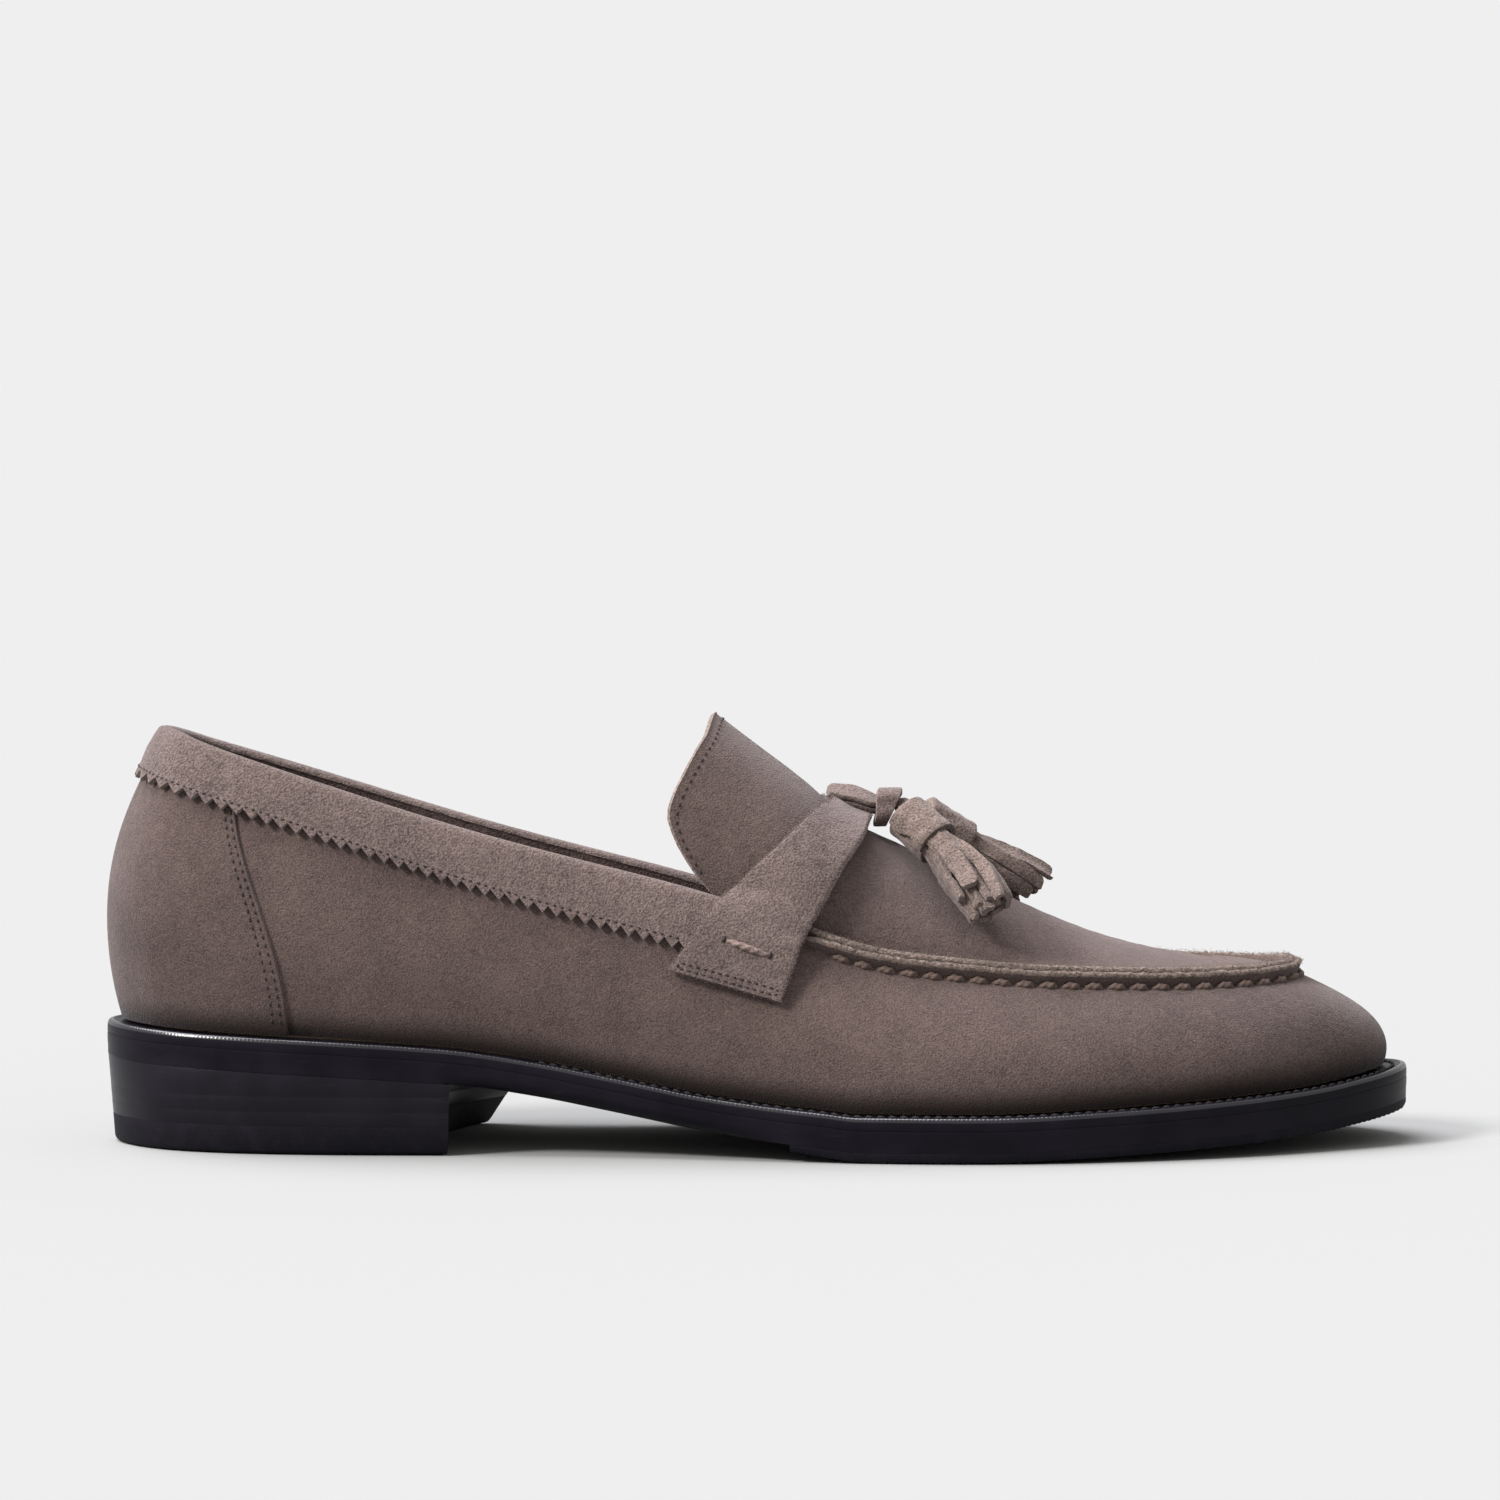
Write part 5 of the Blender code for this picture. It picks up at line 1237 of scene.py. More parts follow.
def build_plug():
    """Columns run from the turned-up seam edge to the crest, and fan round the toe."""
    angles = np.concatenate([np.linspace(90, 78, 6), np.linspace(78, 0, 25)[1:-1]])
    tongue = np.linspace(TONGUE_TIP, TONGUE_STRAIGHT, 26)
    tongue[1] = TONGUE_TIP + TONGUE_BEVEL + 0.0002
    tongue = tongue[np.concatenate([[True], np.diff(tongue) > 0.0001])]
    stations = np.concatenate([tongue, np.linspace(TONGUE_STRAIGHT, PLUG_FAN, 101)[1:]])
    bent = np.clip((TONGUE_STRAIGHT - stations) / (TONGUE_STRAIGHT - TONGUE_TIP), 0, 1)
    lip_rows = len(PLUG_LIP)
    rows = len(angles) + lip_rows
    columns, lips, spine_of = [], [], []
    spine = arch(stations, np.zeros(len(stations)))

    def add(points, inward, outward, share, index):
        lips.append((inward, outward, share))
        run = SEAM_RUN[np.argmin(np.linalg.norm(SEAM_EDGE - points[0], axis=1))]
        pinch = 0.5 + 0.5 * cos(tau * run / SEAM_PITCH)
        over = []
        for up, back in PLUG_LIP:
            rise = share * LIP_HEIGHT * up + (1 - share) * TONGUE_RIM * up
            over.append(points[0] + outward * rise - inward * share * LIP_THICK * back)
        over[0] = over[0] + outward * share * 0.00024 * ripple(points[0] + 0.01, 0.0017)
        columns.append(np.vstack([over, points - outward * share * 0.0001 * pinch]))
        spine_of.append(index)

    def side(index, sign):
        tucked = TONGUE_TUCK * np.sin(np.radians(angles) * 2) ** 2 * (sign > 0) * ease(bent[index] * 1.5)
        points = arch(stations[index] - bent[index] * tongue_back(angles) + tucked, sign * angles)
        near = np.argmin(np.hypot(SEAM_EDGE[:, 0] - points[0, 0], SEAM_EDGE[:, 1] - points[0, 1]))
        add(points, SEAM_IN[near], SEAM_OUT[near], float(lip_share(points[0, 0])), index)

    for index in range(len(stations)):
        side(index, -1)
    inside = (SEAM_EDGE[:, 0] > PLUG_FAN) & (np.abs(SEAM_T - TOE_T) < PERIOD / 8)
    places = SEAM_T[inside]
    end = spine[-1]
    turn = np.radians(angles)
    for t in np.linspace(places[0], places[-1], 67)[1:-1]:
        top, inward, outward = (a[0] for a in wall_frame([t])[3:6])
        edge = top + inward * (2 * LIP_THICK + 2 * GAP)
        flat = end[:2] + (edge[:2] - end[:2]) * np.sin(turn)[:, None]
        z = edge[2] + (end[2] - edge[2]) * np.cos(turn) ** 2
        add(np.column_stack([flat, z]), inward, outward, 1.0, len(stations) - 1)
    for index in reversed(range(len(stations))):
        side(index, 1)
    points = np.vstack(columns + [spine])
    first_spine = len(columns) * rows
    faces = []
    for j in range(len(columns) - 1):
        for i in range(rows - 1):
            faces.append((j * rows + i, (j + 1) * rows + i, (j + 1) * rows + i + 1, j * rows + i + 1))
        low, next_low = j * rows + rows - 1, (j + 1) * rows + rows - 1
        a, b = first_spine + spine_of[j], first_spine + spine_of[j + 1]
        faces.append((low, next_low, b) if a == b else (low, next_low, b, a))
    normal = sheet_normals(points, faces)
    twin = points - normal * PLUG_THICK
    for j, (inward, outward, share) in enumerate(lips):
        for at, (_, back) in enumerate(PLUG_LIP, j * rows):
            width = LIP_THICK * (PLUG_LIP_WIDE - 2 * back)
            twin[at] = points[at] - share * inward * max(width, 0.0001) - (1 - share) * outward * PLUG_THICK
        at = j * rows + lip_rows
        twin[at] = points[at] - share * inward * LIP_THICK * PLUG_LIP_WIDE - outward * PLUG_THICK
    free = np.concatenate([np.arange(rows), np.arange(rows) + (len(columns) - 1) * rows, [first_spine]])
    twin[free] = points[free] - normal[free] * TONGUE_EDGE_THICK
    points[free, 0] += TONGUE_BEVEL
    solid = sheet_solid(points, twin, faces)
    marks = np.array(solid[2])
    flat = len(faces)
    for j in range(len(columns) - 1):
        if lips[j][2] > 0.3:
            marks[j * rows:j * rows + 2] = 1
            marks[flat + j * rows:flat + j * rows + 2] = 1
    finishes = [SUEDE_PLUG_WITHOUT_TOE_SHADE, SUEDE_CUT]
    piece("plug_and_tongue_dressed", solid, finishes, ["plug_and_tongue"], marks, sharp=50)


build_plug()


def tongue_stitches():
    angle = np.linspace(-81, 81, 181)
    x = TONGUE_TIP - tongue_back(angle) + 0.0021
    path = arch(x, angle)
    along = arch(x, angle + 0.5) - arch(x, angle - 0.5)
    ahead = arch(x + 0.0005, angle) - arch(x - 0.0005, angle)
    normals = unit(np.cross(ahead, along))
    rows = [stitch_row(path, normals, pitch=0.0021, share=0.62)]
    thread("tongue_stitches", rows, DARK_THREAD, "suede", radius=0.00024, lift=0.0001, around=6)


tongue_stitches()

# Hand stitches of the moccasin seam: plump twisted thread that draws the vamp up to the plug, lying in
# its own dents along the foot of the ridge.
HAND_THREAD = brown_thread("hand_thread", (0.088, 0.059, 0.049))


def hand_stitches():
    reach = SEAM_RUN[(SEAM_TOP[:, 0] > 0.012) & (SEAM_T < TOE_T)][0]
    count = int(-reach / SEAM_PITCH)
    mids = (np.arange(-count, count) + 0.5) * SEAM_PITCH
    read = lambda run, values: read_path(run, SEAM_RUN, values)
    ends = []
    for shift, down in ((-0.0022, 0.0008), (0.0022, 0.0006)):
        run = mids + shift
        ends.append(read(run, SEAM_TOP) - read(run, SEAM_IN) * down + read(run, SEAM_OUT) * 0.0001)
    out = unit(read(mids, SEAM_OUT) - 0.5 * read(mids, SEAM_IN))
    size = {"radius": 0.00084, "lift": 0.0003, "twist": 2.2, "along": 20, "around": 14}
    thread("hand_stitches", [(*ends, out)], HAND_THREAD, "suede", **size)


hand_stitches()

# Strap: a band of rough suede over the instep, caught down at each end by a boxed row of small stitches
# and one bar of thick yarn.
STRAP_THICK = 0.0016
STRAP_EYE_Z = 0.035
STRAP = table(
    "back_x back_angle front_x front_angle back_clear front_clear",
    (0.5644, 0.0, 0.5932, 0.0, 0.0014, 0.0030),
    (0.5606, 12.0, 0.5908, 11.5, 0.0016, 0.0030),
    (0.5520, 21.0, 0.5867, 23.5, 0.0016, 0.0030),
    (0.5404, 30.0, 0.5785, 34.0, 0.0015, 0.0029),
    (0.5215, 39.5, 0.5685, 43.7, 0.0015, 0.0028),
    (0.4999, 47.0, 0.5568, 54.2, 0.0023, 0.0028),
    (0.4806, 54.3, 0.5469, 62.0, 0.0030, 0.0029),
    (0.4607, 64.4, 0.5366, 71.0, 0.0032, 0.0029),
    (0.4504, 70.5, 0.5308, 78.0, 0.0026, 0.0021),
    (0.4336, 79.2, 0.5205, 89.5, 0.0012, 0.0006),
)


def hull_section(x, angles):
    """The shoe's outer line across at x, as radii round the eye line at angles from upright."""
    v = np.linspace(0, 1, 30)
    dense = np.linspace(0, PERIOD, 801)
    sides = []
    for part in (dense < TOE_T, dense > TOE_T):
        face = wall(dense[part], v)
        line = []
        for i in range(len(v)):
            order = np.argsort(face[:, i, 0])
            line.append([np.interp(x, face[order, i, 0], face[order, i, k]) for k in (1, 2)])
        sides.append(np.array(line))
    over = arch(np.full(61, x), np.linspace(-90, 90, 61))[:, 1:]
    line = np.vstack([sides[0], over[2:-2], sides[1][::-1]])
    angle = np.degrees(np.arctan2(line[:, 0], line[:, 1] - STRAP_EYE_Z))
    radius = np.hypot(line[:, 0], line[:, 1] - STRAP_EYE_Z)
    order = np.argsort(angle)
    return np.interp(angles, angle[order], radius[order])


HULL_X = np.linspace(last_x(0.43), last_x(0.60), 35)
HULL_ANGLE = np.linspace(-100, 100, 401)
HULL = np.array([hull_section(x, HULL_ANGLE) for x in HULL_X])


def strap_point(share, across, extra):
    """Points of the strap: share from -1 at its outer end to 1 at its inner end, across from its back
    edge at 0 to its front edge at 1."""
    share, across = np.broadcast_arrays(np.asarray(share, float), np.asarray(across, float))

    def between(name):
        back, front = STRAP["back_" + name], STRAP["front_" + name]
        rows = np.linspace(0, 1, len(back))
        back, front = (through(np.abs(share), rows, values) for values in (back, front))
        return back + (front - back) * across

    x = last_x(between("x"))
    angle = between("angle") * np.where(share > 0, 1, -1)
    clear = between("clear") + extra
    i = np.clip((x - HULL_X[0]) / (HULL_X[1] - HULL_X[0]), 0, len(HULL_X) - 1.001)
    j = np.clip((angle - HULL_ANGLE[0]) / (HULL_ANGLE[1] - HULL_ANGLE[0]), 0, len(HULL_ANGLE) - 1.001)
    a, b = i.astype(int), j.astype(int)
    i, j = i - a, j - b
    low, high = (HULL[a, c] * (1 - i) + HULL[a + 1, c] * i for c in (b, b + 1))
    radius = low * (1 - j) + high * j + clear
    turn = np.radians(angle)
    return np.stack([x, radius * np.sin(turn), STRAP_EYE_Z + radius * np.cos(turn)], axis=-1)


def strap_path(points):
    """A path over the strap through (share, across) places, and its outward normals."""
    points = np.array(points, float)
    at = np.linspace(0, len(points) - 1, 40 * (len(points) - 1) + 1)
    share, across = (np.interp(at, np.arange(len(points)), points[:, i]) for i in (0, 1))
    path = strap_point(share, across, STRAP_THICK)
    along = strap_point(share + 0.01, across, STRAP_THICK) - strap_point(share - 0.01, across, STRAP_THICK)
    wide = strap_point(share, across + 0.02, STRAP_THICK) - strap_point(share, across - 0.02, STRAP_THICK)
    return path, unit(np.cross(wide, along))


def build_strap():
    shares = np.linspace(-1, 1, 161)[:, None]
    across = np.concatenate([[0, 0.012, 0.04], np.linspace(0.1, 0.9, 12), [0.96, 0.988, 1]])[None]
    place = strap_point(shares, across, 0.0)
    rounding = 0.00030 * (np.exp(-(across / 0.012)) + np.exp(-((1 - across) / 0.012)))
    rough = 0.00007 * ripple(place, 0.0042)
    low = place.reshape(-1, 3)
    high = strap_point(shares, across, STRAP_THICK - rounding + rough).reshape(-1, 3)
    rows = across.shape[1]
    faces = []
    for j in range(len(shares) - 1):
        for i in range(rows - 1):
            faces.append((j * rows + i, j * rows + i + 1, (j + 1) * rows + i + 1, (j + 1) * rows + i))
    solid = sheet_solid(high, low, faces)
    piece("strap_dressed", solid, [NAPPED, NAPPED_CUT], ["strap"], solid[2], sharp=50)
    boxes, bars = [], []
    for side in (-1, 1):
        corners = [(-0.97, 0.05), (-0.97, 0.95), (-0.987, 0.95), (-0.987, 0.05), (-0.97, 0.05)]
        boxes.append(stitch_row(*strap_path([(-side * s, a) for s, a in corners]), pitch=0.0017, share=0.66))
        path, normals = strap_path([(side * 0.85, 0.29), (side * 0.876, 0.76)])
        bars.append((path[:1], path[-1:], normals[20:21]))
    thread("strap_stitches", boxes, DARK_THREAD, "suede_napped", radius=0.00022, lift=0.0001, around=6)
    yarn = brown_thread("bar_yarn", (0.165, 0.118, 0.102))
    holes = []
    for start, end, out in bars:
        way = unit(end - start)
        for tip in (start, end):
            holes.append((tip - way * 0.0007, tip + way * 0.0007, out))
    thread("strap_holes", holes, DARK_THREAD, "suede_napped", radius=0.00105, lift=-0.0006)
    size = {"radius": 0.00078, "lift": 0.0003, "twist": 5.0, "along": 60, "around": 14}
    thread("strap_bars", bars, yarn, "suede_napped", **size)


build_strap()

# Thong: a strip of suede looped round the middle of the strap, and the knot that gathers it in front.
THONG_THICK = 0.0012
THONG_RISE = 0.0014
THONG_ARC = ((0.84, 0.20), (0.64, 0.60), (0.42, 1.00), (0.22, 0.95))
KNOT_CENTRE = (0.6049, -0.022, 0.1019)
KNOT_LENGTH = 0.0052
KNOT_WIDTH = 0.0105
KNOT_HEIGHT = 0.0088
STRIP_SECTION = (
    (-1, -0.55), (-0.93, -1), (-0.45, -1.06), (0.45, -1.06), (0.93, -1),
    (1, -0.55), (1, 0.55), (0.93, 1), (0.45, 1.06), (-0.45, 1.06), (-0.93, 1), (-1, 0.55),
)
STRIP_EDGES = (0, 4, 5, 6, 10, 11)


def above_crest(place):
    """A place over the plug's crest, from its shares of the last."""
    x = last_x(place[0])
    return np.array((x, BALL_WIDTH / 2 * place[1], float(crest(x)[0]) + INSTEP_HEIGHT * place[2]))


def strip(path, side, width, thick):
    """A strip of suede along a path: side is its width's direction; all may change along it."""
    way = unit(np.gradient(path, axis=0))
    side = unit(side - way * np.sum(side * way, axis=1)[:, None])
    out = np.cross(way, side)
    width, thick = np.broadcast_to(width, len(path)), np.broadcast_to(thick, len(path))
    section = np.array(STRIP_SECTION)
    u = section[None, :, 0] * width[:, None] / 2
    w = section[None, :, 1] * thick[:, None] / 2
    points = path[:, None] + side[:, None] * u[..., None] + out[:, None] * w[..., None]
    size = len(section)
    marks = [int(k % size in STRIP_EDGES) for k in range((len(path) - 1) * size)] + [1, 1]
    return (*tube(points, False), marks)


def joined(shapes):
    """Several shapes as one, with their marks."""
    points, faces, marks, base = [], [], [], 0
    for part_points, part_faces, part_marks in shapes:
        points.append(part_points)
        faces += [tuple(i + base for i in face) for face in part_faces]
        marks += list(part_marks)
        base += len(part_points)
    return np.vstack(points), faces, marks


def curve_through(points, count):
    """A smooth open path through points."""
    points = np.array(points, float)
    run = length_along(points)
    at = np.linspace(0, run[-1], count)
    return np.column_stack([through(at, run, points[:, i]) for i in range(3)])


LOOP_TILT = radians(27)
LOOP_WIDE = 0.0058
LOOP_UNDER = 0.0017


def build_thong():
    """The loop lies a little tilted, so that its face shows from the outer side. Under it runs the other half
    of the fold, in the dark lining suede as painted shade beneath the loop."""
    back = strap_point(0.0, 0.0, STRAP_THICK)
    knot = above_crest(KNOT_CENTRE)
    leg = back[0] - THONG_THICK / 2 - 2.6 * GAP
    end = (knot[0] - KNOT_LENGTH * 0.2, 0, knot[2] + KNOT_HEIGHT / 9)
    arc = [end]
    for share, rise in THONG_ARC:
        height = back[2] + (end[2] - back[2]) * share + THONG_RISE * rise
        arc.append((leg + (end[0] - leg) * share, 0, height))
    arc += [(leg + THONG_THICK / 2, 0, back[2] + THONG_THICK), (leg, 0, back[2] + THONG_THICK / 12)]
    path = curve_through(arc, 40)
    path[:, 1] += knot[1]
    tilt = LOOP_TILT * (0.6 + 0.4 * np.sin(np.linspace(0, pi, len(path))))
    side = np.column_stack([np.zeros(len(path)), np.cos(tilt), np.sin(tilt)])
    width = LOOP_WIDE * (0.72 + 0.28 * ease(np.linspace(0, 4, len(path))))
    width = width + 0.0002 * ripple(path, 0.005)
    under = path - UP * LOOP_UNDER
    layers = [strip(path, side, width, THONG_THICK), strip(under, side, width * 0.92, THONG_THICK)]
    # The under layer takes the dark lining suede as painted shade beneath the loop.
    layers[1] = (*layers[1][:2], [2] * len(layers[1][2]))
    shape = joined(layers)
    piece("thong_loop_dressed", shape, [NAPPED, NAPPED_CUT, LINING_AND_PAINTED_SHADE], ["thong_loop"], shape[2])


def build_knot():
    """One turn of the thong round the two ties, wider at its top, over a core of the same suede."""
    centre = above_crest(KNOT_CENTRE)
    turn = np.linspace(0, tau, 64, endpoint=False)
    c, s = np.cos(turn), np.sin(turn)
    square = lambda a: np.sign(a) * np.abs(a) ** 0.80
    thick = 0.0015
    pinch = 1 - 0.14 * np.exp(-(((s - 0.25) / 0.35) ** 2)) * (c < 0)
    middle = np.column_stack([
        centre[0] - 0.0004 + 0.0012 * s,
        centre[1] + (KNOT_WIDTH - thick) / 2 * square(c) * pinch,
        centre[2] + (KNOT_HEIGHT - thick) / 2 * square(s),
    ])
    ahead = unit(np.roll(middle, -1, axis=0) - np.roll(middle, 1, axis=0))
    out = unit(np.cross(ahead, (1.0, 0.0, 0.0)))
    wide = 0.0043 + 0.0015 * s + 0.0002 * np.sin(3 * turn)
    section = np.array(STRIP_SECTION)
    crown = 1 + 0.12 * (1 - np.abs(section[:, 0]))
    points = middle[:, None] + np.array((1.0, 0, 0)) * (section[None, :, 0] * wide[:, None] / 2)[..., None]
    points = points + out[:, None] * (section[None, :, 1] * crown[None] * thick / 2)[..., None]
    points = points + out[:, None] * (0.00012 * ripple(points, 0.0035))[..., None]
    band = tube(points, True)
    size = len(section)
    shapes = [(*band, [int(k % size in STRIP_EDGES) for k in range(len(turn) * size)])]
    rings = []
    for share in np.linspace(-0.42, 0.42, 13):
        scale = 0.84 * (1 - abs(2 * share) ** 3 * 0.35)
        ring = np.column_stack([
            centre[0] + share * KNOT_LENGTH * (0.62 + 0.36 * s) + 0.0013 * s,
            centre[1] + scale * KNOT_WIDTH / 2 * square(c),
            centre[2] + scale * KNOT_HEIGHT / 2 * square(s),
        ])
        rings.append(ring)
    core = tube(np.array(rings), False)
    shapes.append((*core, [0] * len(core[1])))
    shape = joined(shapes)
    piece("tassel_knot_dressed", shape, [NAPPED, NAPPED_CUT], ["tassel_knot"], shape[2])


build_thong()
build_knot()

# Tassels: each a fringe of suede rolled up on its tie and wrapped by a short strip as its head. The strips
# of the fringe hang unevenly, curl a little and show their paler cut edges.
TASSEL_NAP = suede("suede_tassel", (0.130, 0.096, 0.084), 1.3, grain=2.6, fade=0.0)
# Each tassel: its tie, head start, neck and end as shares of the last, then the strips of its fringe as
# angle, reach, share of the length, width, thickness, twist and curl, in degrees and millimetres.
TASSELS = {
    "tassel_lateral": (
        (
            (0.6190, -0.057, 0.1386), (0.6190, -0.179, 0.1075),
            (0.6434, -0.306, 0.0718), (0.6818, -0.590, -0.0338),
        ),
        (
            (140, 6.8, 0.85, 4.4, 1.6, 6, -0.1), (187, 6.0, 0.88, 2.5, 1.5, -14, 0.0),
            (226, 6.0, 1.06, 2.9, 1.4, 22, 0.1), (258, 5.6, 0.94, 2.4, 1.4, 0, 0.0),
            (92, 6.3, 1.13, 3.0, 1.1, -66, 0.2), (108, 4.6, 1.06, 2.8, 1.3, 30, 0.2),
            (158, 4.3, 1.07, 2.6, 1.4, -14, 0.1), (204, 4.3, 1.11, 2.5, 1.3, 30, 0.0),
            (126, 3.4, 1.14, 2.4, 1.3, 40, 0.0), (178, 2.6, 1.12, 2.6, 1.4, -30, 0.0),
            (286, 5.8, 1.00, 4.0, 1.7, 0, 0.0), (326, 5.8, 0.98, 4.0, 1.7, 5, 0.2),
            (8, 5.8, 1.02, 4.0, 1.7, -5, 0.0), (48, 5.9, 1.05, 3.8, 1.7, 0, 0.3),
            (60, 2.6, 1.04, 4.0, 2.0, 0, 0.0), (290, 2.4, 1.02, 4.0, 2.0, 0, 0.0),
            (170, 1.2, 1.00, 4.4, 2.4, 0, 0.0),
        ),
    ),
    "tassel_medial": (
        (
            (0.6197, 0.017, 0.1405), (0.6317, 0.114, 0.1180),
            (0.6660, 0.186, 0.0930), (0.7202, 0.317, 0.0430),
        ),
        (
            (156, 5.6, 1.00, 3.6, 1.7, -6, 0.3), (116, 6.3, 1.08, 4.0, 1.2, -16, -0.5),
            (200, 5.6, 0.93, 3.4, 1.6, 10, 0.3), (240, 5.0, 0.84, 3.4, 1.7, 0, 0.0),
            (275, 5.4, 0.95, 4.0, 1.7, 0, 0.2), (315, 5.6, 1.00, 4.0, 1.7, 0, 0.0),
            (355, 5.8, 1.00, 4.0, 1.7, 0, 0.3), (35, 5.8, 1.02, 4.0, 1.7, 0, 0.0),
            (72, 5.8, 0.98, 4.0, 1.7, 0, 0.2), (150, 3.0, 1.04, 3.8, 2.0, 0, 0.0),
            (20, 2.8, 0.98, 3.8, 2.0, 0, 0.0), (270, 2.6, 0.98, 3.8, 2.0, 0, 0.0),
        ),
    ),
}
# The fringe's core strip takes the dark lining suede as painted shade between the strips.
FRINGE_SHADE_CORE = (170, 2.0, 0.95, 5.0, 4.4, 0, 0.0)
HEAD_RADIUS = 0.0056
HEAD_WRAP = 0.0011
HEAD_PROFILE = (
    (-0.02, 0.42), (-0.025, 0.70), (0.0, 0.91), (0.03, 0.98), (0.08, 1.0), (0.35, 0.985), (0.65, 1.0),
    (0.93, 1.01), (0.99, 1.0), (1.0, 0.985), (1.0, 0.74), (0.9, 0.72),
)
HEAD_SEAM = 3.45
SLIT_DEPTH = 0.0012


def across_axis(way):
    side = unit(np.cross(UP, way))
    return side, np.cross(unit(way), side)


def tassel_head(start, head_way):
    """A short strip wrapped round: it ends in a ragged slit on its lower side."""
    turn = np.linspace(0, tau, 97)[:-1]
    side, over = across_axis(head_way)
    profile = np.array(HEAD_PROFILE)
    body = np.linspace(0.08, 0.93, 15)
    body = np.column_stack([body, np.interp(body, profile[4:8, 0], profile[4:8, 1])])
    profile = np.vstack([profile[:4], body, profile[8:]])
    rings = []
    for share, size in profile:
        seam = HEAD_SEAM + 0.16 * sin(7 * share)
        past = np.mod(turn - seam + 0.05, tau)
        wrap = HEAD_WRAP * np.exp(-past / 0.7) * ease(past / 0.1)
        slit = SLIT_DEPTH * np.exp(-(((past - 0.07) / 0.09) ** 2))
        slit = slit * ease((share - 0.16) / 0.08) * ease((0.66 - share) / 0.1)
        radius = HEAD_RADIUS * size - (wrap + slit) * (size > 0.9)
        ring = np.cos(turn)[:, None] * side + np.sin(turn)[:, None] * over
        centre = start + share * head_way
        radius = radius + 0.00013 * ripple(centre + radius[:, None] * ring, 0.0034)
        rings.append(centre + radius[:, None] * ring)
    points, faces = tube(np.array(rings), False)
    marks = [0] * len(faces)
    # The rim ring at the head's lower end takes the dark lining suede as painted shade.
    rim = len(profile) - 3
    for k in range(rim * len(turn), (rim + 1) * len(turn)):
        marks[k] = 2
    return points, faces, marks


def fringe_strip(neck, end, head_way, row):
    """One strip of the fringe: from inside the head's rim out to its own place at the end."""
    angle, reach, long, wide, thick, twist, curl = row
    tail_way = end - neck
    bend = 0.5 * unit(head_way) * np.linalg.norm(tail_way)
    share = np.append(np.linspace(-0.08, 0.97, 24), 1.0)
    at = (np.maximum(share, 0) * long)[:, None]
    centre = (1 - at) ** 2 * neck + 2 * at * (1 - at) * (neck + bend) + at**2 * end
    centre = centre + np.minimum(share, 0)[:, None] * head_way
    way = unit(np.gradient(centre, axis=0))
    side = unit(np.cross(UP, way))
    over = np.cross(way, side)
    turn = radians(angle)
    first = min(HEAD_RADIUS * 0.80 - thick / 2000, reach / 1000)
    distance = first + (reach / 1000 - thick / 2000 - first) * ease(at[:, 0] * 1.3 + 0.1)
    distance = distance + 0.0004 * np.sin(at[:, 0] * 5 + angle)
    radial = side * cos(turn) + over * 0.92 * sin(turn)
    path = centre + radial * distance[:, None]
    lean = np.radians(twist) * ease(2 * at)
    width_way = (over * cos(turn) - side * sin(turn)) * np.cos(lean) + radial * np.sin(lean)
    out = unit(np.cross(way, width_way))
    tip = np.where(share > 0.99, 0.80, 1.0)
    width = wide / 1000 * (0.78 + 0.22 * ease(at[:, 0] * 2.2)) + 0.00018 * np.sin(at[:, 0] * 13 + angle)
    depth = thick / 1000 * (0.85 + 0.15 * at[:, 0])
    points, faces, marks = strip(path, width_way, width * tip, depth * tip)
    size = len(STRIP_SECTION)
    bow = curl / 1000 * (np.tile(np.array(STRIP_SECTION)[:, 0] ** 2, len(path)) - 0.4)
    bow = bow * np.repeat(ease(2 * at[:, 0]), size)
    points = points + out.repeat(size, axis=0) * (0.00016 * ripple(points, 0.0036) + bow)[:, None]
    ragged = 0.00028 * ripple(points + 0.01 * angle, 0.0021) * np.repeat(ease((share - 0.9) / 0.1), size)
    return points + way.repeat(size, axis=0) * ragged[:, None], faces, marks


def build_tassel(name, places, fringe):
    tie, start, neck, end = (above_crest(p) for p in places)
    head_way = neck - start
    shapes = [tassel_head(start, head_way)]
    shapes += [fringe_strip(neck, end, head_way, row) for row in fringe]
    core = fringe_strip(neck, end, head_way, FRINGE_SHADE_CORE)
    # The core strip is painted shade in the dark lining suede.
    shapes.append((*core[:2], [2] * len(core[2])))
    knot = above_crest(KNOT_CENTRE)
    midway = tie * 0.5 + start * 0.5 + UP * 0.0004
    cord = curve_through([knot * 0.5 + tie * 0.5, tie, midway, start + 0.15 * head_way], 16)
    side = np.tile(across_axis(head_way)[0] + (0, 0, 0.5), (len(cord), 1))
    shapes.append(strip(cord, side, 0.0030, 0.0015))
    shape = joined(shapes)
    piece(name + "_dressed", shape, [TASSEL_NAP, NAPPED_CUT, LINING_AND_PAINTED_SHADE], [name], shape[2])


for tassel_name, (tassel_places, tassel_fringe) in TASSELS.items():
    build_tassel(tassel_name, tassel_places, tassel_fringe)

# Loose fibres: the raw edges of the suede fray into short fibres, thickest on the seam's ridge and along
# the strap. Each is a slim closed spike set into its edge.
FIBRE_THICK = 0.00009
FIBRES_PER_METRE = 14000


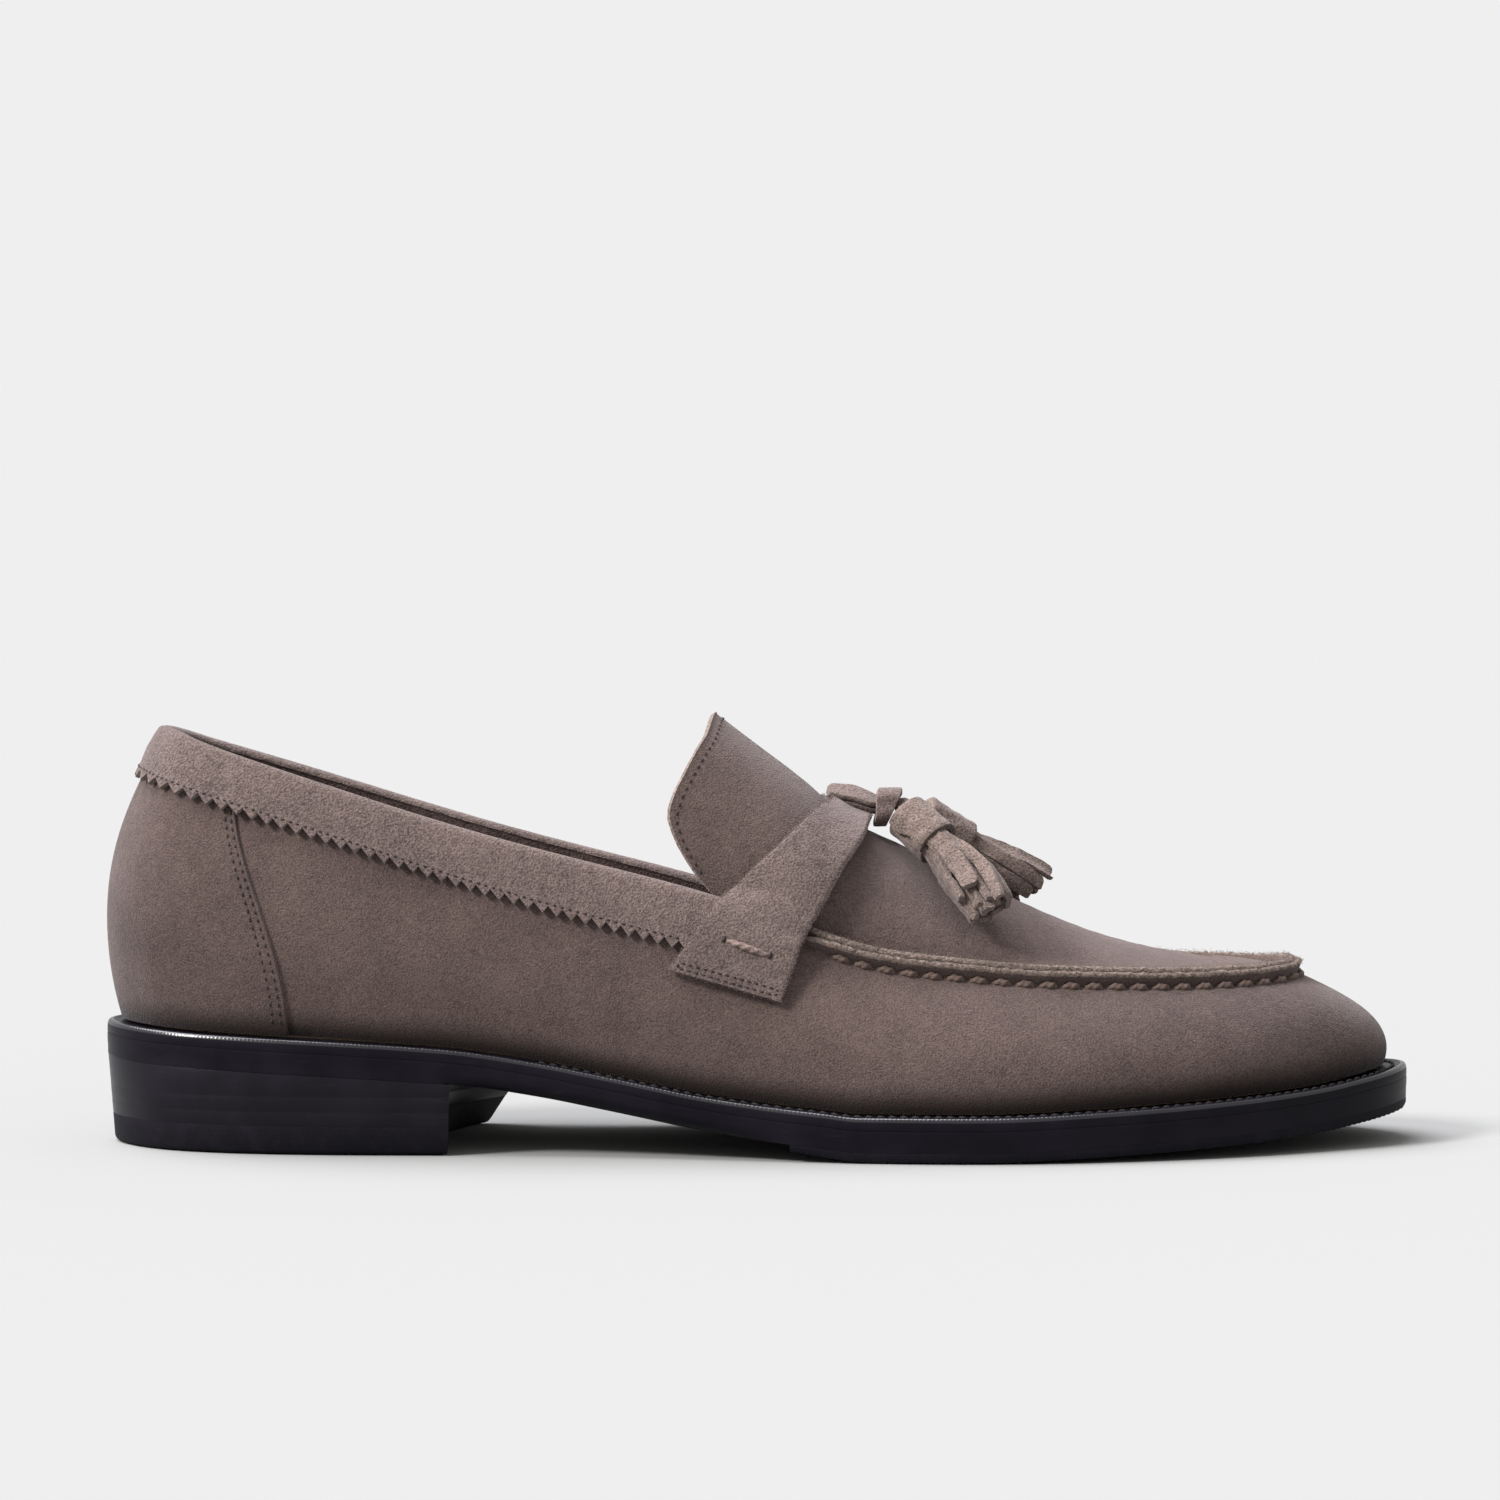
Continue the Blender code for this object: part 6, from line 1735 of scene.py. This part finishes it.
def fibres(name, edges, colour, length, spread, seed):
    """Spikes of three sides, set at random along edges, which are paths with their outward directions."""
    random = np.random.default_rng(seed)
    shapes = []
    for path, out in edges:
        run = length_along(path)
        at = random.uniform(0, run[-1], int(run[-1] * FIBRES_PER_METRE))
        root, way = read_path(at, run, path), read_path(at, run, out)
        root = root + random.normal(0, spread, root.shape)
        way = unit(unit(way) + random.normal(0, 0.55, way.shape))
        side = unit(np.cross(way, random.normal(0, 1, way.shape)))
        over = np.cross(way, side)
        reach = (length * random.uniform(0.35, 1.0, len(at)))[:, None]
        for k in range(3):
            turn = tau * k / 3
            shapes.append(root - way * 0.0001 + FIBRE_THICK * (cos(turn) * side + sin(turn) * over))
        shapes.append(root + way * reach)
    spikes = [np.stack(shapes[k:k + 4], axis=1).reshape(-1, 3) for k in range(0, len(shapes), 4)]
    points = np.concatenate(spikes)
    count = len(points) // 4
    faces = []
    for k in range(0, 4 * count, 4):
        faces += [(k, k + 2, k + 1), (k, k + 1, k + 3), (k + 1, k + 2, k + 3), (k + 2, k, k + 3)]
    finish = Finish(name, 1.0, 0.05)
    finish.shader.inputs["Base Color"].default_value = (*colour, 1.0)
    piece(name, (points, faces), [finish.material], sharp=180)


def seam_edges():
    shown = SEAM_TOP[:, 0] > last_x(LIP_FULL_SHARE)
    edges = []
    for part in (shown & (SEAM_T < PERIOD / 2), shown & (SEAM_T >= PERIOD / 2)):
        for across in (0.2, 0.8):
            path = SEAM_TOP[part] + SEAM_OUT[part] * LIP_HEIGHT * 0.97 + SEAM_IN[part] * LIP_THICK * across
            edges.append((path, SEAM_OUT[part]))
            path = path + SEAM_IN[part] * (LIP_THICK + 2 * GAP)
            edges.append((path, SEAM_OUT[part]))
    return edges


def strap_edges():
    share = np.linspace(-1, 1, 400)
    edges = []
    for across in (0.0, 1.0):
        path = strap_point(share, across, STRAP_THICK * 0.8)
        inner = strap_point(share, 0.5, STRAP_THICK * 0.8)
        edges.append((path, path - inner))
    across = np.linspace(0, 1, 60)
    for end, inside in ((-1, -0.98), (1, 0.98)):
        path = strap_point(end, across, STRAP_THICK * 0.7)
        edges.append((path, path - strap_point(inside, across, STRAP_THICK * 0.7)))
    return edges


SEAM_FRAY = (0.17, 0.132, 0.112)
STRAP_FRAY = (0.150, 0.114, 0.104)
fibres("seam_fibres", seam_edges(), SEAM_FRAY, length=0.00024, spread=0.00028, seed=1)
fibres("strap_fibres", strap_edges(), STRAP_FRAY, length=0.00038, spread=0.00022, seed=2)
